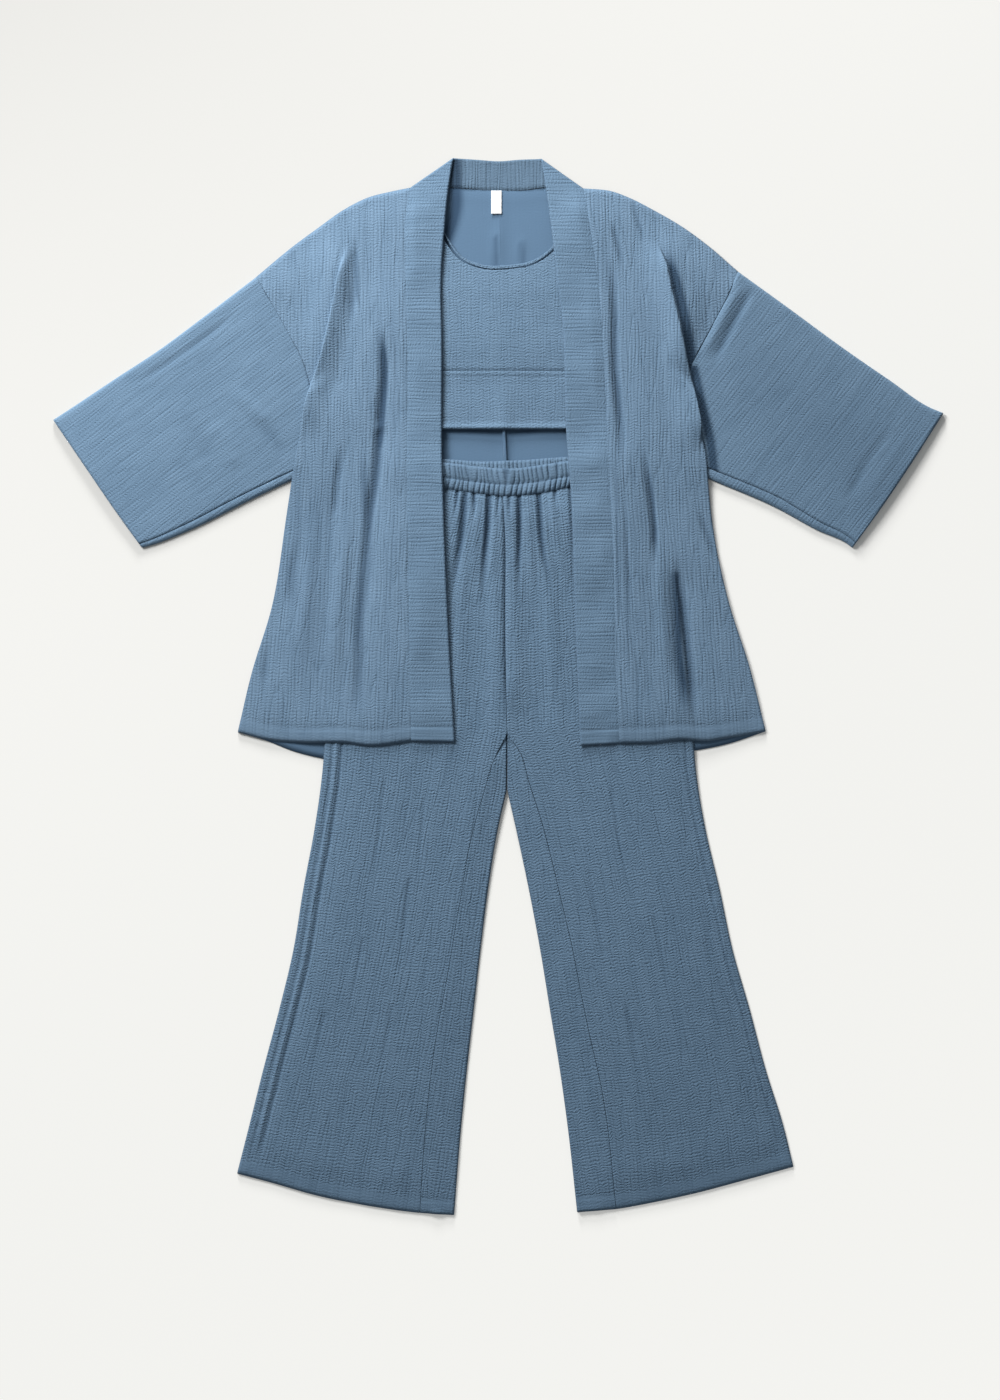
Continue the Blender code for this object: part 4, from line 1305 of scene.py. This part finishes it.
class Kimono:
    """Open robe: backs, sleeves, neck band and label below, fronts and bands above."""

    def lower(self, stack: Stack) -> None:
        """Builds what lies under the other garments.

        Args:
            stack: The pieces laid so far.
        """
        flat = Crinkle(Grain.SMOOTH, height=0.0003, seed=3)
        centre = line("centre_back")
        roots = {side: line(f"armhole_{side.value}", f"armpit_{side.value}",
                            f"side_{side.value}") for side in Side}
        neck = {side: line(f"neck_seam_{side.value}") for side in Side}
        tips = {side: line(f"shoulder_{side.value}") for side in Side}
        inside = ridges((0.9, 12, 9, [(-3, 610), (-3, 585), (-4, 562)]), (0.8, 8, 8, [(32, 598), (32, 570)]))
        rows = {
            Side.LEFT: (roots[Side.LEFT], centre,
                        np.concatenate([tips[Side.LEFT][::-1], neck[Side.LEFT][1:]])),
            Side.RIGHT: (centre, roots[Side.RIGHT], np.concatenate([neck[Side.RIGHT], tips[Side.RIGHT][1:]])),
        }
        for side, (left, right, top) in rows.items():
            outer = FOLD if side is Side.LEFT else FLUSH
            inner = FLUSH if side is Side.LEFT else FOLD
            Panel(f"kimono_back_{side.value}_cloth", f"kimono_back_{side.value}", left, right, top,
                  line(f"back_hem_{side.value}"), Cut(0.37, 0.79, 0.238 if side is Side.LEFT else 0.227),
                  flat,
                  finish=INSIDE, cell=(0.0058, 0.0080), borders=(outer, inner, SEAM, HEM), turn=(0, 1),
                  creases=inside, painted_shades=self.painted_shades(), sewn=() if side is Side.LEFT else (0,)).build(stack)
        seam = line("centre_back")
        seam = seam[(seam[:, 1] < 0.5) & (seam[:, 1] > 0.235)]
        left, right = beside(seam, -0.0024), beside(seam, 0.0024)
        Panel("centre_back_seam_cloth", "kimono_centre_back_seam", left, right, np.array([left[0], right[0]]),
              np.array([left[-1], right[-1]]), None, flat, finish=INSIDE, cell=(0.0008, 0.004),
              borders=(FOLD, FOLD, PLAIN, PLAIN), smoothing=0.004).build(stack)
        for side in Side:
            inset = (0.0155, 0.013, 0.0065) if side is Side.LEFT else (0.0186, 0.0168, 0.008)
            # Painted shadow cast on the right sleeve by the front's fold over it, and a broad, faint painted
            # shade over the whole sleeve.
            under = ridges((-1.6, 5, 13, [(286, 272), (280, 326), (269, 374), (257, 427)]),
                           (-0.14, 110, 120, [(290, 470), (440, 350), (600, 220)]), ends=(0.05, 0.02))
            Sleeve(side, inset, creases=self.sleeve_creases(side),
                   painted_shades=under if side is Side.RIGHT else ()).build(stack)
        edge, seam = line("neck_edge"), line("neck_seam")
        Panel("neck_band_cloth", "band_neck", np.array([edge[0], seam[0]]), np.array([edge[-1], seam[-1]]),
              edge, beside(seam, 0.0003), Cut(0.23, 0.05, 0.0078), Crinkle(Grain.ALONG, 0.0003, 0.0045, 5),
              finish=NECK, cell=(0.0020, 0.0026), turn=(0, 1), painted_shades=self.painted_shades(),
              borders=(FOLD, FOLD, FOLD, SEAM), smoothing=0.006).build(stack)
        x0, x1, y0, y1 = -0.009, 0.005, 0.6285, 0.6595
        Panel("neck_label_cloth", "neck_label", np.array([(x0, y1), (x0, y0)]),
              np.array([(x1, y1), (x1, y0)]),
              np.array([(x0, y1), (x1, y1)]), np.array([(x0, y0), (x1, y0)]), Cut(0.014, 0.031),
              Crinkle(Grain.SMOOTH, 0.0001), finish=LABEL, cell=(0.001, 0.0012),
              borders=(PLAIN, PLAIN, PLAIN, Border(lift=0.0006)), smoothing=0.004, wall=0.0005).build(stack)

    @staticmethod
    def painted_shades() -> tuple[Crease, ...]:
        """Painted shade on the inside: the shadow beside the left band at the neck, two folds in the neck
        drawn by painted shade alone, the shadow under the crop top's hem and the shade beside the left band
        and the centre-back seam below it. The neck band reads them too.

        Returns:
            The painted shades.
        """
        return ridges((-1.3, 16, 12,
                       [(-58, 705), (-57, 665), (-57, 640), (-64, 610), (-76, 582), (-84, 560)]),
                      (-0.55, 6, 6, [(-4, 600), (-4, 575), (-3, 552)]),
                      (-0.5, 6, 6, [(31, 596), (32, 572), (33, 552)]),
                      (-0.9, 6, 8, [(-100, 340), (0, 341), (110, 339)]),
                      (-0.6, 9, 12, [(-74, 345), (-73, 320), (-72, 292)]),
                      (-0.5, 5, 5, [(15, 345), (15, 322), (16, 292)]), ends=0.04)

    @staticmethod
    def front_shades(side: Side) -> tuple[Crease, ...]:
        """Painted shade on the shaded sides of the deepest folds of a front; on the right also the painted
        shadow beside the shoulder fold and fine lines drawn by painted shade alone. The left one's last row
        is a broad, faint painted shade.

        Args:
            side: Side of the set.

        Returns:
            The painted shades.
        """
        if side is Side.LEFT:
            return ridges((-0.7, 8, 10, [(-180, 330), (-174, 205), (-183, 102), (-190, -4)]),
                          (-1.3, 7, 11, [(-155, 482), (-150, 420), (-154, 350), (-161, 285)]),
                          (-0.55, 5, 7, [(-188, 590), (-187, 550), (-186, 500)]),
                          (-0.3, 10, 12, [(-262, 290), (-268, 180), (-272, 80)]),
                          (-0.2, 60, 40, [(-230, 300), (-245, 130), (-262, -20)]))
        return (*ridges((-1.9, 15, 4, [(220, 592), (233, 537), (247, 476), (256, 427), (263, 380)]),
                        ends=(0.3, 0.02)),
                *ridges((-1.05, 6, 16, [(238, 160), (240, 93), (243, 35), (249, -5), (253, -50)]),
                        ends=(0.06, 0.3)),
                *ridges((-0.85, 3, 8, [(200, 300), (207, 240), (208, 185)]), ends=(0.4, 0.08)),
                *ridges((-0.4, 3, 3, [(156, 320), (158, 200), (160, 60)]),
                        (-0.35, 3, 3, [(168, 240), (171, 120), (172, 0)])))

    @staticmethod
    def sleeve_creases(side: Side) -> tuple[Crease, ...]:
        """Folds of a sleeve.

        Args:
            side: Side of the set.

        Returns:
            The creases.
        """
        if side is Side.LEFT:
            return ridges((-0.9, 7, 9, [(-340, 502), (-400, 456), (-487, 398)]),
                          (1.1, 16, 16, [(-356, 396), (-327, 371), (-302, 346)]),
                          (-0.7, 13, 16, [(-328, 360), (-304, 336), (-278, 304)]),
                          (-0.45, 22, 22, [(-424, 362), (-400, 334), (-380, 290)]),
                          (0.9, 18, 18, [(-384, 354), (-362, 326), (-346, 286)]),
                          (-0.3, 18, 18, [(-430, 306), (-409, 281), (-386, 250)]))
        return ridges((1.6, 7, 8, [(326, 541), (300, 492), (269, 432)]),
                      (-2.0, 8, 9, [(341, 536), (314, 486), (284, 426)]),
                      (-0.8, 11, 11, [(528, 348), (495, 306), (460, 240)]),
                      (0.5, 12, 12, [(552, 350), (520, 300), (480, 238)]))

    def upper(self, stack: Stack) -> None:
        """Builds the fronts and their bands over the other garments.

        Args:
            stack: The pieces laid so far.
        """
        for side in Side:
            word = side.value
            outer = line(f"armhole_{word}", f"cover_{word}", f"side_{word}", count=400)
            seam = line(f"band_seam_{word}")
            tip = line(f"shoulder_{word}")
            left, right, top = (outer, seam, tip[::-1]) if side is Side.LEFT else (seam, outer, tip)
            root = Change(THIN, FOLD, 0.26)
            borders = (root, SOFT, FOLD, HEM) if side is Side.LEFT else (SOFT, root, FOLD, HEM)
            Panel(f"kimono_front_{word}_cloth", f"kimono_front_{word}", left, right, top,
                  line(f"front_hem_{word}"), Cut(0.26, 0.77, 0.136 if side is Side.LEFT else 0.121),
                  Crinkle(Grain.ALONG, 0.00011, 0.0064, 31 + side.turn), cell=(0.0022, 0.0040),
                  turn=(0, 1), fan=0.25, borders=borders,
                  painted_shades=self.front_shades(side), creases=self.front_creases(side),
                  sewn=(0,) if side is Side.LEFT else (1,), blend=0.045).build(stack)
        for side in Side:
            word = side.value
            edge, seam = line(f"band_edge_{word}"), line(f"band_seam_{word}")
            seam = beside(seam, -side.turn * -0.0003)
            left, right = (seam, edge) if side is Side.LEFT else (edge, seam)
            twin = Border(ditch=0.0005)
            borders = (twin, FOLD, FOLD, HEM) if side is Side.LEFT else (FOLD, twin, FOLD, HEM)
            Panel(f"band_{word}_cloth", f"band_{word}", left, right, np.array([left[0], right[0]]),
                  np.array([left[-1], right[-1]]), Cut(0.055, 0.79, 0.0420),
                  Crinkle(Grain.ACROSS, 0.00012, 0.0050, 41), turn=(1, 0), finish=BANDS,
                  cell=(0.0022, 0.0019), borders=borders, sewn=(0,) if side is Side.LEFT else (1,),
                  wall=0.0014).build(stack)

    @staticmethod
    def front_creases(side: Side) -> tuple[Crease, ...]:
        """Folds of a front.

        Args:
            side: Side of the set.

        Returns:
            The creases.
        """
        if side is Side.LEFT:
            fold = ridges((5.0, 7, 24, [(-262, 325), (-246, 385), (-230, 432), (-214, 499), (-203, 557),
                                        (-195, 592)]),
                          ends=0.2, lean=7.0)
            return fold + ridges(
                (-2.8, 7, 11, [(-188, 600), (-190, 555), (-196, 470)]),
                (-3.8, 8, 12, [(-154, 492), (-150, 416), (-156, 348), (-161, 281), (-168, 235), (-182, 120)]),
                (-1.8, 9, 9, [(-205, 330), (-213, 275), (-221, 200)]),
                (-1.5, 12, 9, [(-266, 200), (-273, 150), (-277, 95)]),
                (-0.9, 8, 8, [(-304, 70), (-312, -10)]),
                (2.6, 16, 20, [(-203, 240), (-206, 170), (-215, 80), (-223, -17)]),
                (-2.0, 13, 14, [(-166, 240), (-172, 170), (-182, 100), (-184, 20), (-192, -60)]),
                (1.6, 14, 14, [(-246, 230), (-252, 140), (-262, 40)]),
                ends=0.35)
        fold = ridges((6.0, 34, 6, [(268, 310), (257, 366), (243, 428), (233, 476), (219, 537), (208, 598)]),
                      ends=0.16, lean=-9.0)
        return fold + ridges(
            (-2.9, 8, 10, [(148, 590), (155, 496), (156, 420), (161, 368), (166, 270)]),
            (-1.6, 6, 7, [(150, 620), (160, 585), (168, 550)]),
            (-1.2, 6, 6, [(180, 640), (196, 585)]),
            (-2.9, 4, 11, [(194, 320), (204, 255), (210, 205), (208, 150)]),
            (-3.6, 13, 4, [(232, 185), (242, 120), (247, 70), (253, 10), (262, -70)]),
            (2.0, 14, 16, [(214, 190), (220, 100), (226, 0)]),
            (-1.0, 5, 6, [(166, 275), (172, 180), (178, 85)]),
            (-1.4, 8, 8, [(264, 240), (280, 198), (296, 155)]),
            ends=0.35)


class CropTop:
    """Crop top with a bound scoop neck and a band under the bust."""

    def build(self, stack: Stack) -> None:
        """Builds the top.

        Args:
            stack: The pieces laid so far.
        """
        check = Crinkle(Grain.CHECK, 0.00012, 0.0050, 51)
        neck, seam, hem = line("top_neck"), line("bust_seam"), line("top_hem")
        sides = {side: line(f"top_side_{side.value}") for side in Side}
        fine, coarse = (0.0025, 0.0031), (0.0055, 0.0065)
        binding = beside(neck, -0.0055)
        for layer, cell, drop in (("back", coarse, beside(neck, -0.009)),
                                  ("front", fine, beside(neck, -0.0058))):
            top = np.concatenate([sides[Side.LEFT][:1], drop, sides[Side.RIGHT][:1]])
            Panel(f"top_{layer}_cloth", f"top_{layer}", sides[Side.LEFT], sides[Side.RIGHT], top,
                  beside(seam, 0.0002),
                  Cut(0.39, 0.23, 0.061), check, CHECKED, cell=cell, turn=(0, 1),
                  borders=(FOLD, FOLD, THIN, SEAM)).build(stack)
            low = beside(seam, -0.0002)
            Panel(f"top_band_{layer}_cloth", f"top_band_{layer}", np.array([low[0], hem[0]]),
                  np.array([low[-1], hem[-1]]), low, hem, Cut(0.39, 0.08, 0.0312), replace(check, seed=52),
                  CHECKED, cell=cell,
                  borders=(FOLD, FOLD, SOFT, Border(roll=0.002, lift=0.003 if layer == "front" else 0)),
                  sewn=(2,),
                  turn=(0, 1),
                  creases=ridges((0.5, 2.5, 2.5, [(-188, 415), (0, 417), (200, 415)]),
                                 (-0.6, 2, 2, [(-188, 412), (0, 414), (200, 412)]), ends=0.02)).build(stack)
        Panel("top_binding_cloth", "top_binding", neck[:1].repeat(2, 0) + [[0, 0], [0.0001, 0]],
              neck[-1:].repeat(2, 0),
              neck, binding, Cut(0.29, 0.01, 0.0014), Crinkle(Grain.ACROSS, 0.0001, 0.004, 55), CHECKED,
              cell=(0.0030, 0.0009), borders=(PLAIN, PLAIN, FOLD, THIN)).build(stack)


class Trousers:
    """Wide-leg trousers with a gathered waist, their inner legs turned to the front."""

    def build(self, stack: Stack) -> None:
        """Builds the trousers.

        Args:
            stack: The pieces laid so far.
        """
        check = Crinkle(Grain.CHECK, 0.00010, 0.0065, 61)
        outer, inner, rims = {}, {}, {}
        for side in Side:
            word = side.value
            outer[side] = line(f"leg_outer_{word}", count=300)
            rims[side] = beside(line("centre_front", "crotch", f"leg_inner_{word}", count=300),
                                side.turn * 0.0002)
            inner[side] = beside(line("centre_front", f"inseam_{word}", count=300), side.turn * 0.0002)
            left, right = (outer[side], rims[side]) if side is Side.LEFT else (rims[side], outer[side])
            Panel(f"trouser_back_{word}_cloth", f"trouser_back_{word}", left, right,
                  line(f"waist_seam_{word}"),
                  line(f"leg_hem_{word}"), Cut(0.34, 0.97, 0.262), check, LEGS, cell=(0.0062, 0.0085),
                  borders=(FOLD, FOLD, SEAM, HEM)).build(stack)
        for side in Side:
            word = side.value
            edge = beside(outer[side], -side.turn * -0.0050)
            left, right = (edge, inner[side]) if side is Side.LEFT else (inner[side], edge)
            hem = line(f"leg_hem_{word}")
            at = LINES[f"leg_hem_{word}"][4 if side is Side.LEFT else 1][0] * MM
            hem = hem[hem[:, 0] < at] if side is Side.LEFT else hem[hem[:, 0] > at]
            Panel(f"trouser_front_{word}_cloth", f"trouser_front_{word}", left, right,
                  beside(line(f"waist_seam_{word}"), -0.0002), hem, Cut(0.33, 0.97, 0.232),
                  replace(check, seed=62 + side.turn), LEGS, cell=(0.0022, 0.0044),
                  borders=(FOLD, THIN, SEAM, HEM) if side is Side.LEFT
                  else (SOFT, FOLD, SEAM, HEM), creases=self.gathers(side), smoothing=0.010).build(stack)
        for side in Side:
            word = side.value
            seam = beside(line(f"inseam_{word}", count=300), -side.turn * 0.0003)
            rim = beside(line("crotch", f"leg_inner_{word}", count=300), side.turn * 0.0005)
            seam = seam[4:]
            left, right = (seam, rim) if side is Side.LEFT else (rim, seam)
            Panel(f"trouser_turn_{word}_cloth", f"trouser_turn_{word}", left, right,
                  np.array([left[0], right[0]]),
                  np.array([left[-1], right[-1]]), Cut(0.05, 0.66, 0.026), replace(check, seed=65), LEGS,
                  cell=(0.0020, 0.0038), turn=(-side.turn * 0.16, 1),
                  borders=(THIN, FOLD, PLAIN, HEM) if side is Side.LEFT else (FOLD, THIN, PLAIN, HEM),
                  sewn=(0,) if side is Side.LEFT else (1,)).build(stack)
        self.waist(stack)

    def waist(self, stack: Stack) -> None:
        """Builds the two layers of the waistband.

        Args:
            stack: The pieces laid so far.
        """
        seam = np.concatenate([line("waist_seam_left"), line("waist_seam_right")[1:]])
        for layer, name in (("back", "waist_top_back"), ("front", "waist_top")):
            upper = line(name)
            low = beside(seam, 0.0002) if layer == "front" else seam + [0, 0.008]
            Panel(f"waistband_{layer}_cloth", f"waistband_{layer}", np.array([upper[0], low[0]]),
                  np.array([upper[-1], low[-1]]), upper, low,
                  Cut(0.40, 0.042 if layer == "front" else 0.040, None,
                  held="gathered"), Crinkle(Grain.ALONG, 0.0001, 0.003, 71), WAIST, cell=(0.0009, 0.0016),
                  borders=(FOLD, FOLD, FOLD, SEAM if layer == "front" else PLAIN), smoothing=0.008,
                  waves=self.ruffles(layer), sewn=(3,) if layer == "front" else ()).build(stack)

    @staticmethod
    def ruffles(layer: str) -> Callable[[Array, Array], tuple[Array, Array]]:
        """Heights of the waistband's gathers, and the shade painted into them.

        Args:
            layer: Which layer, back or front.

        Returns:
            A function of shares across and down.
        """
        rows, pitch = (((0, 0.57), (0.57, 1.0)), 46) if layer == "front" else (((0, 1.0),), 64)

        def rise(t: Array, s: Array) -> tuple[Array, Array]:
            """Height of the gathers at shares across and down, and the painted shade in their slits and at
            the edges of the rows.
            """
            total, shade = np.zeros((2, s.shape[0], t.shape[1]))
            for k, (start, end) in enumerate(rows):
                inside = (s >= start) & (s <= end)
                u = np.clip((s - start) / (end - start), 0, 1)
                dome = np.sqrt(np.clip(1 - (2 * u - 1) ** 2, 0, 1))
                seed = 80 + k + 10 * (layer == "back")
                lean = t + (-0.006 if k == 0 else 0.009) * (u - 0.5)
                beat = lean * pitch + 0.75 * noise(lean * 21 + 0 * s, 0.4 * u + 0 * t, seed)
                deep = 0.65 + 0.35 * noise(lean * 33 + 0 * s, 0.7 * u + 0 * t, seed + 3)
                slit = deep * np.exp(-((np.sin(np.pi * beat) / 0.42) ** 2))
                total += inside * (0.0016 * dome - 0.0024 * slit * (0.55 + 0.45 * dome))
                # Painted shade in the slits, and towards the edges of each row.
                shade += inside * np.clip(0.7 * slit + 0.55 * (1 - dome) ** 2, 0, 0.8)
            return total, shade

        return rise

    @staticmethod
    def along_side(side: Side, *rows: tuple[float, float, float, float]) -> tuple[Crease, ...]:
        """Grooves and ridges that follow a leg's outer side.

        Args:
            side: Side of the set.
            rows: Height, widths to the left and right, and distance from the side, in millimetres.

        Returns:
            The creases.
        """
        edge = line(f"leg_outer_{side.value}", count=40)
        edge = edge[edge[:, 1] < -0.02]
        return tuple(Crease(height, near, far,
                            tuple(map(tuple, beside(edge, -side.turn * away * MM)[:-1] / MM)),
                            (0.01, 0.06)) for height, near, far, away in rows)

    @staticmethod
    def gathers(side: Side) -> tuple[Crease, ...]:
        """Gathers below the waist, and the long folds of a leg.

        Args:
            side: Side of the set.

        Returns:
            The creases.
        """
        if side is Side.LEFT:
            return Trousers.along_side(side, (-1.4, 2.5, 2.5, 5.5), (1.2, 5, 5, 11.5),
                                       (-1.6, 3.5, 3.5, 18)) + ridges(
                (-0.9, 4, 4, [(-150, -120), (-160, -210), (-172, -300)]),
                (-0.8, 4, 4, [(-178, -330), (-192, -400), (-207, -465)]),
                (-0.9, 4, 4, [(-118, -250), (-126, -330), (-134, -400)]),
                (-0.7, 4, 4, [(-140, -420), (-150, -480), (-158, -530)]),
                (-0.8, 4, 4, [(-98, -150), (-105, -230), (-110, -290)]),
                (-0.8, 5, 5, [(-230, -430), (-243, -490), (-255, -540)]),
                (-3.0, 4, 4, [(-53, 272), (-55, 245), (-59, 215)]),
                (-4.4, 6, 8, [(-43, 262), (-47, 205), (-54, 160), (-63, 100)]),
                (-3.8, 4, 4, [(-33, 272), (-31, 242), (-32, 212)]),
                (-4.8, 8, 5, [(-13, 274), (-14, 215), (-19, 161), (-22, 90)]),
                (-2.6, 3, 3, [(1, 265), (0, 240), (-1, 212)]),
                (-1.8, 7, 7, [(-70, 272), (-74, 220), (-82, 150)]), ends=(0.06, 0.75)) + ridges(
                (1.0, 8, 8, [(-26, 262), (-30, 200), (-36, 130)]),
                (1.0, 8, 8, [(-2, 255), (-6, 200), (-8, 130)]),
                (-1.8, 10, 4, [(6, 262), (9, 200), (9, 89), (10, 20), (12, -62)]), ends=(0.1, 0.3))
        return Trousers.along_side(side, (-1.4, 2.5, 2.5, 7)) + ridges(
            (-0.9, 4, 4, [(150, -130), (164, -220), (180, -310)]),
            (-0.8, 4, 4, [(205, -300), (222, -380), (236, -450)]),
            (-0.7, 4, 4, [(120, -240), (134, -320), (146, -400)]),
            (-0.8, 5, 5, [(170, -420), (184, -490), (194, -545)]),
            (-4.6, 5, 6, [(28, 268), (29, 206), (28, 165), (26, 95)]),
            (-4.4, 6, 6, [(53, 273), (56, 225), (59, 184), (66, 150), (77, 100)]),
            (-2.4, 4, 4, [(76, 273), (76, 235)]),
            (-2.2, 5, 5, [(96, 275), (99, 200), (101, 102)]),
            (-2.4, 4, 4, [(14, 266), (15, 238), (15, 210)]), ends=(0.06, 0.75)) + ridges(
            (1.0, 8, 8, [(41, 262), (42, 200), (46, 130)]), (0.9, 8, 8, [(68, 262), (76, 200), (86, 140)]),
            (-1.8, 3, 9, [(6, 262), (9, 200), (9, 89), (10, 20), (12, -62)]), ends=(0.1, 0.3))


@dataclass(frozen=True)
class Lamp:
    """A soft area light turned to the set.

    Attributes:
        name: Name of the light.
        place: Where it stands.
        size: Width of its face.
        power: Power in watts.
    """

    name: str
    place: tuple[float, float, float]
    size: float
    power: float

    def build(self) -> None:
        """Adds the light."""
        data = bpy.data.lights.new(self.name, "AREA")
        data.size = self.size
        data.energy = self.power
        lamp = bpy.data.objects.new(self.name, data)
        lamp.location = self.place
        lamp.rotation_euler = (-Vector(self.place)).to_track_quat("-Z", "Y").to_euler()
        bpy.context.collection.objects.link(lamp)


@dataclass(frozen=True)
class Studio:
    """Pale floor, soft light and a camera looking straight down.

    Attributes:
        floor: Light that the floor sends to the camera all over.
        fall: How one over the lamps' light runs on the floor: 1, x, y, x*x, x*y, y*y.
        pale: Palest colour that the paper may have.
        distance: Height of the camera over the set.
        middle: Point of the set at the middle of the picture.
        tall: Height of the picture at the set.
        lamps: The lights over the set.
        sky: Colour of the light from all round.
        glow: Strength of that light.
        square: Half the width of the square over which the fall is known.
        edge: Distance from the middle beyond which the paper takes its outer tone.
        outer: Tone of the paper far from the set.
    """

    floor: tuple[float, float, float] = (0.905, 0.896, 0.863)
    fall: tuple[float, ...] = (0.8351, 0.2813, -0.4519, 0.0998, 0.0186, 0.0819)
    pale: float = 0.86
    distance: float = 3.2
    middle: tuple[float, float] = (0.0027, -0.0173)
    tall: float = 1.862
    lamps: tuple[Lamp, ...] = (Lamp("key", (-1.75, 1.85, 1.45), 1.0, 118),
                               Lamp("skim", (-0.4, 2.9, 0.72), 0.5, 100))
    sky: tuple[float, float, float] = (0.93, 0.97, 1.0)
    glow: float = 0.28
    square: float = 1.2
    edge: float = 1.16
    outer: float = 0.8

    def build(self) -> None:
        """Adds the floor, the lights and the camera."""
        bm = bmesh.new()
        bmesh.ops.create_grid(bm, x_segments=1, y_segments=1, size=6)
        mesh = bpy.data.meshes.new("floor")
        bm.to_mesh(mesh)
        bm.free()
        mesh.materials.append(self.paper())
        floor = bpy.data.objects.new("floor", mesh)
        bpy.context.collection.objects.link(floor)
        for lamp in self.lamps:
            lamp.build()
        world = bpy.data.worlds.new("studio")
        world.use_nodes = True
        world.node_tree.nodes["Background"].inputs["Color"].default_value = (*self.sky, 1)
        world.node_tree.nodes["Background"].inputs["Strength"].default_value = self.glow
        bpy.context.scene.world = world
        bpy.context.scene.view_settings.view_transform = "Standard"
        lens = bpy.data.cameras.new("camera")
        lens.sensor_fit = "VERTICAL"
        lens.sensor_height = 36
        lens.lens = 36 * self.distance / self.tall
        camera = bpy.data.objects.new("camera", lens)
        camera.location = (*self.middle, self.distance)
        bpy.context.collection.objects.link(camera)
        bpy.context.scene.camera = camera

    def paper(self) -> bpy.types.Material:
        """Makes the paper of the floor, toned against the fall of the light so that it looks even.

        Returns:
            The material.
        """
        paper = bpy.data.materials.new("floor_paper")
        paper.use_nodes = True
        tree = paper.node_tree
        nodes, links = tree.nodes, tree.links
        shader = nodes["Principled BSDF"]

        spots = nodes.new("ShaderNodeTexCoord")
        parts = nodes.new("ShaderNodeSeparateXYZ")
        links.new(spots.outputs["Object"], parts.inputs[0])
        x, y = (sum_of(tree, "MAXIMUM", sum_of(tree, "MINIMUM", parts.outputs[k], self.square),
                       -self.square) for k in (0, 1))
        first, *rest = self.fall
        total: object = first
        for weight, term in zip(rest, (x, y, sum_of(tree, "MULTIPLY", x, x), sum_of(tree, "MULTIPLY", x, y),
                                       sum_of(tree, "MULTIPLY", y, y))):
            total = sum_of(tree, "MULTIPLY_ADD", term, weight, total)
        squares = (sum_of(tree, "MULTIPLY", parts.outputs[k], parts.outputs[k]) for k in (0, 1))
        reach = sum_of(tree, "SQRT", sum_of(tree, "ADD", *squares))
        away = sum_of(tree, "MAXIMUM",
                      sum_of(tree, "MINIMUM", sum_of(tree, "SUBTRACT", reach, self.edge), 1.0), 0.0)
        total = sum_of(tree, "MULTIPLY_ADD", away, sum_of(tree, "SUBTRACT", self.outer, total), total)
        tone = sum_of(tree, "MINIMUM", total, self.pale)
        # Where the lamps' light falls short of that tone, the paper glows to make it up: painted light that
        # keeps the floor even.
        painted_glow = sum_of(tree, "SUBTRACT", 1.0, sum_of(tree, "DIVIDE", tone, total))
        for share, socket in ((tone, "Base Color"), (painted_glow, "Emission Color")):
            tint = nodes.new("ShaderNodeVectorMath")
            tint.operation = "SCALE"
            tint.inputs[0].default_value = self.floor
            links.new(share, tint.inputs["Scale"])
            links.new(tint.outputs[0], shader.inputs[socket])
        shader.inputs["Emission Strength"].default_value = 1
        shader.inputs["Roughness"].default_value = 1
        shader.inputs["Specular IOR Level"].default_value = 0
        return paper


def main() -> None:
    """Builds the set from the floor up, then the studio."""
    stack = Stack()
    kimono = Kimono()
    kimono.lower(stack)
    CropTop().build(stack)
    Trousers().build(stack)
    kimono.upper(stack)
    Studio().build()


if __name__ == "__main__":
    logging.basicConfig(level=logging.INFO, format="%(message)s")
    main()
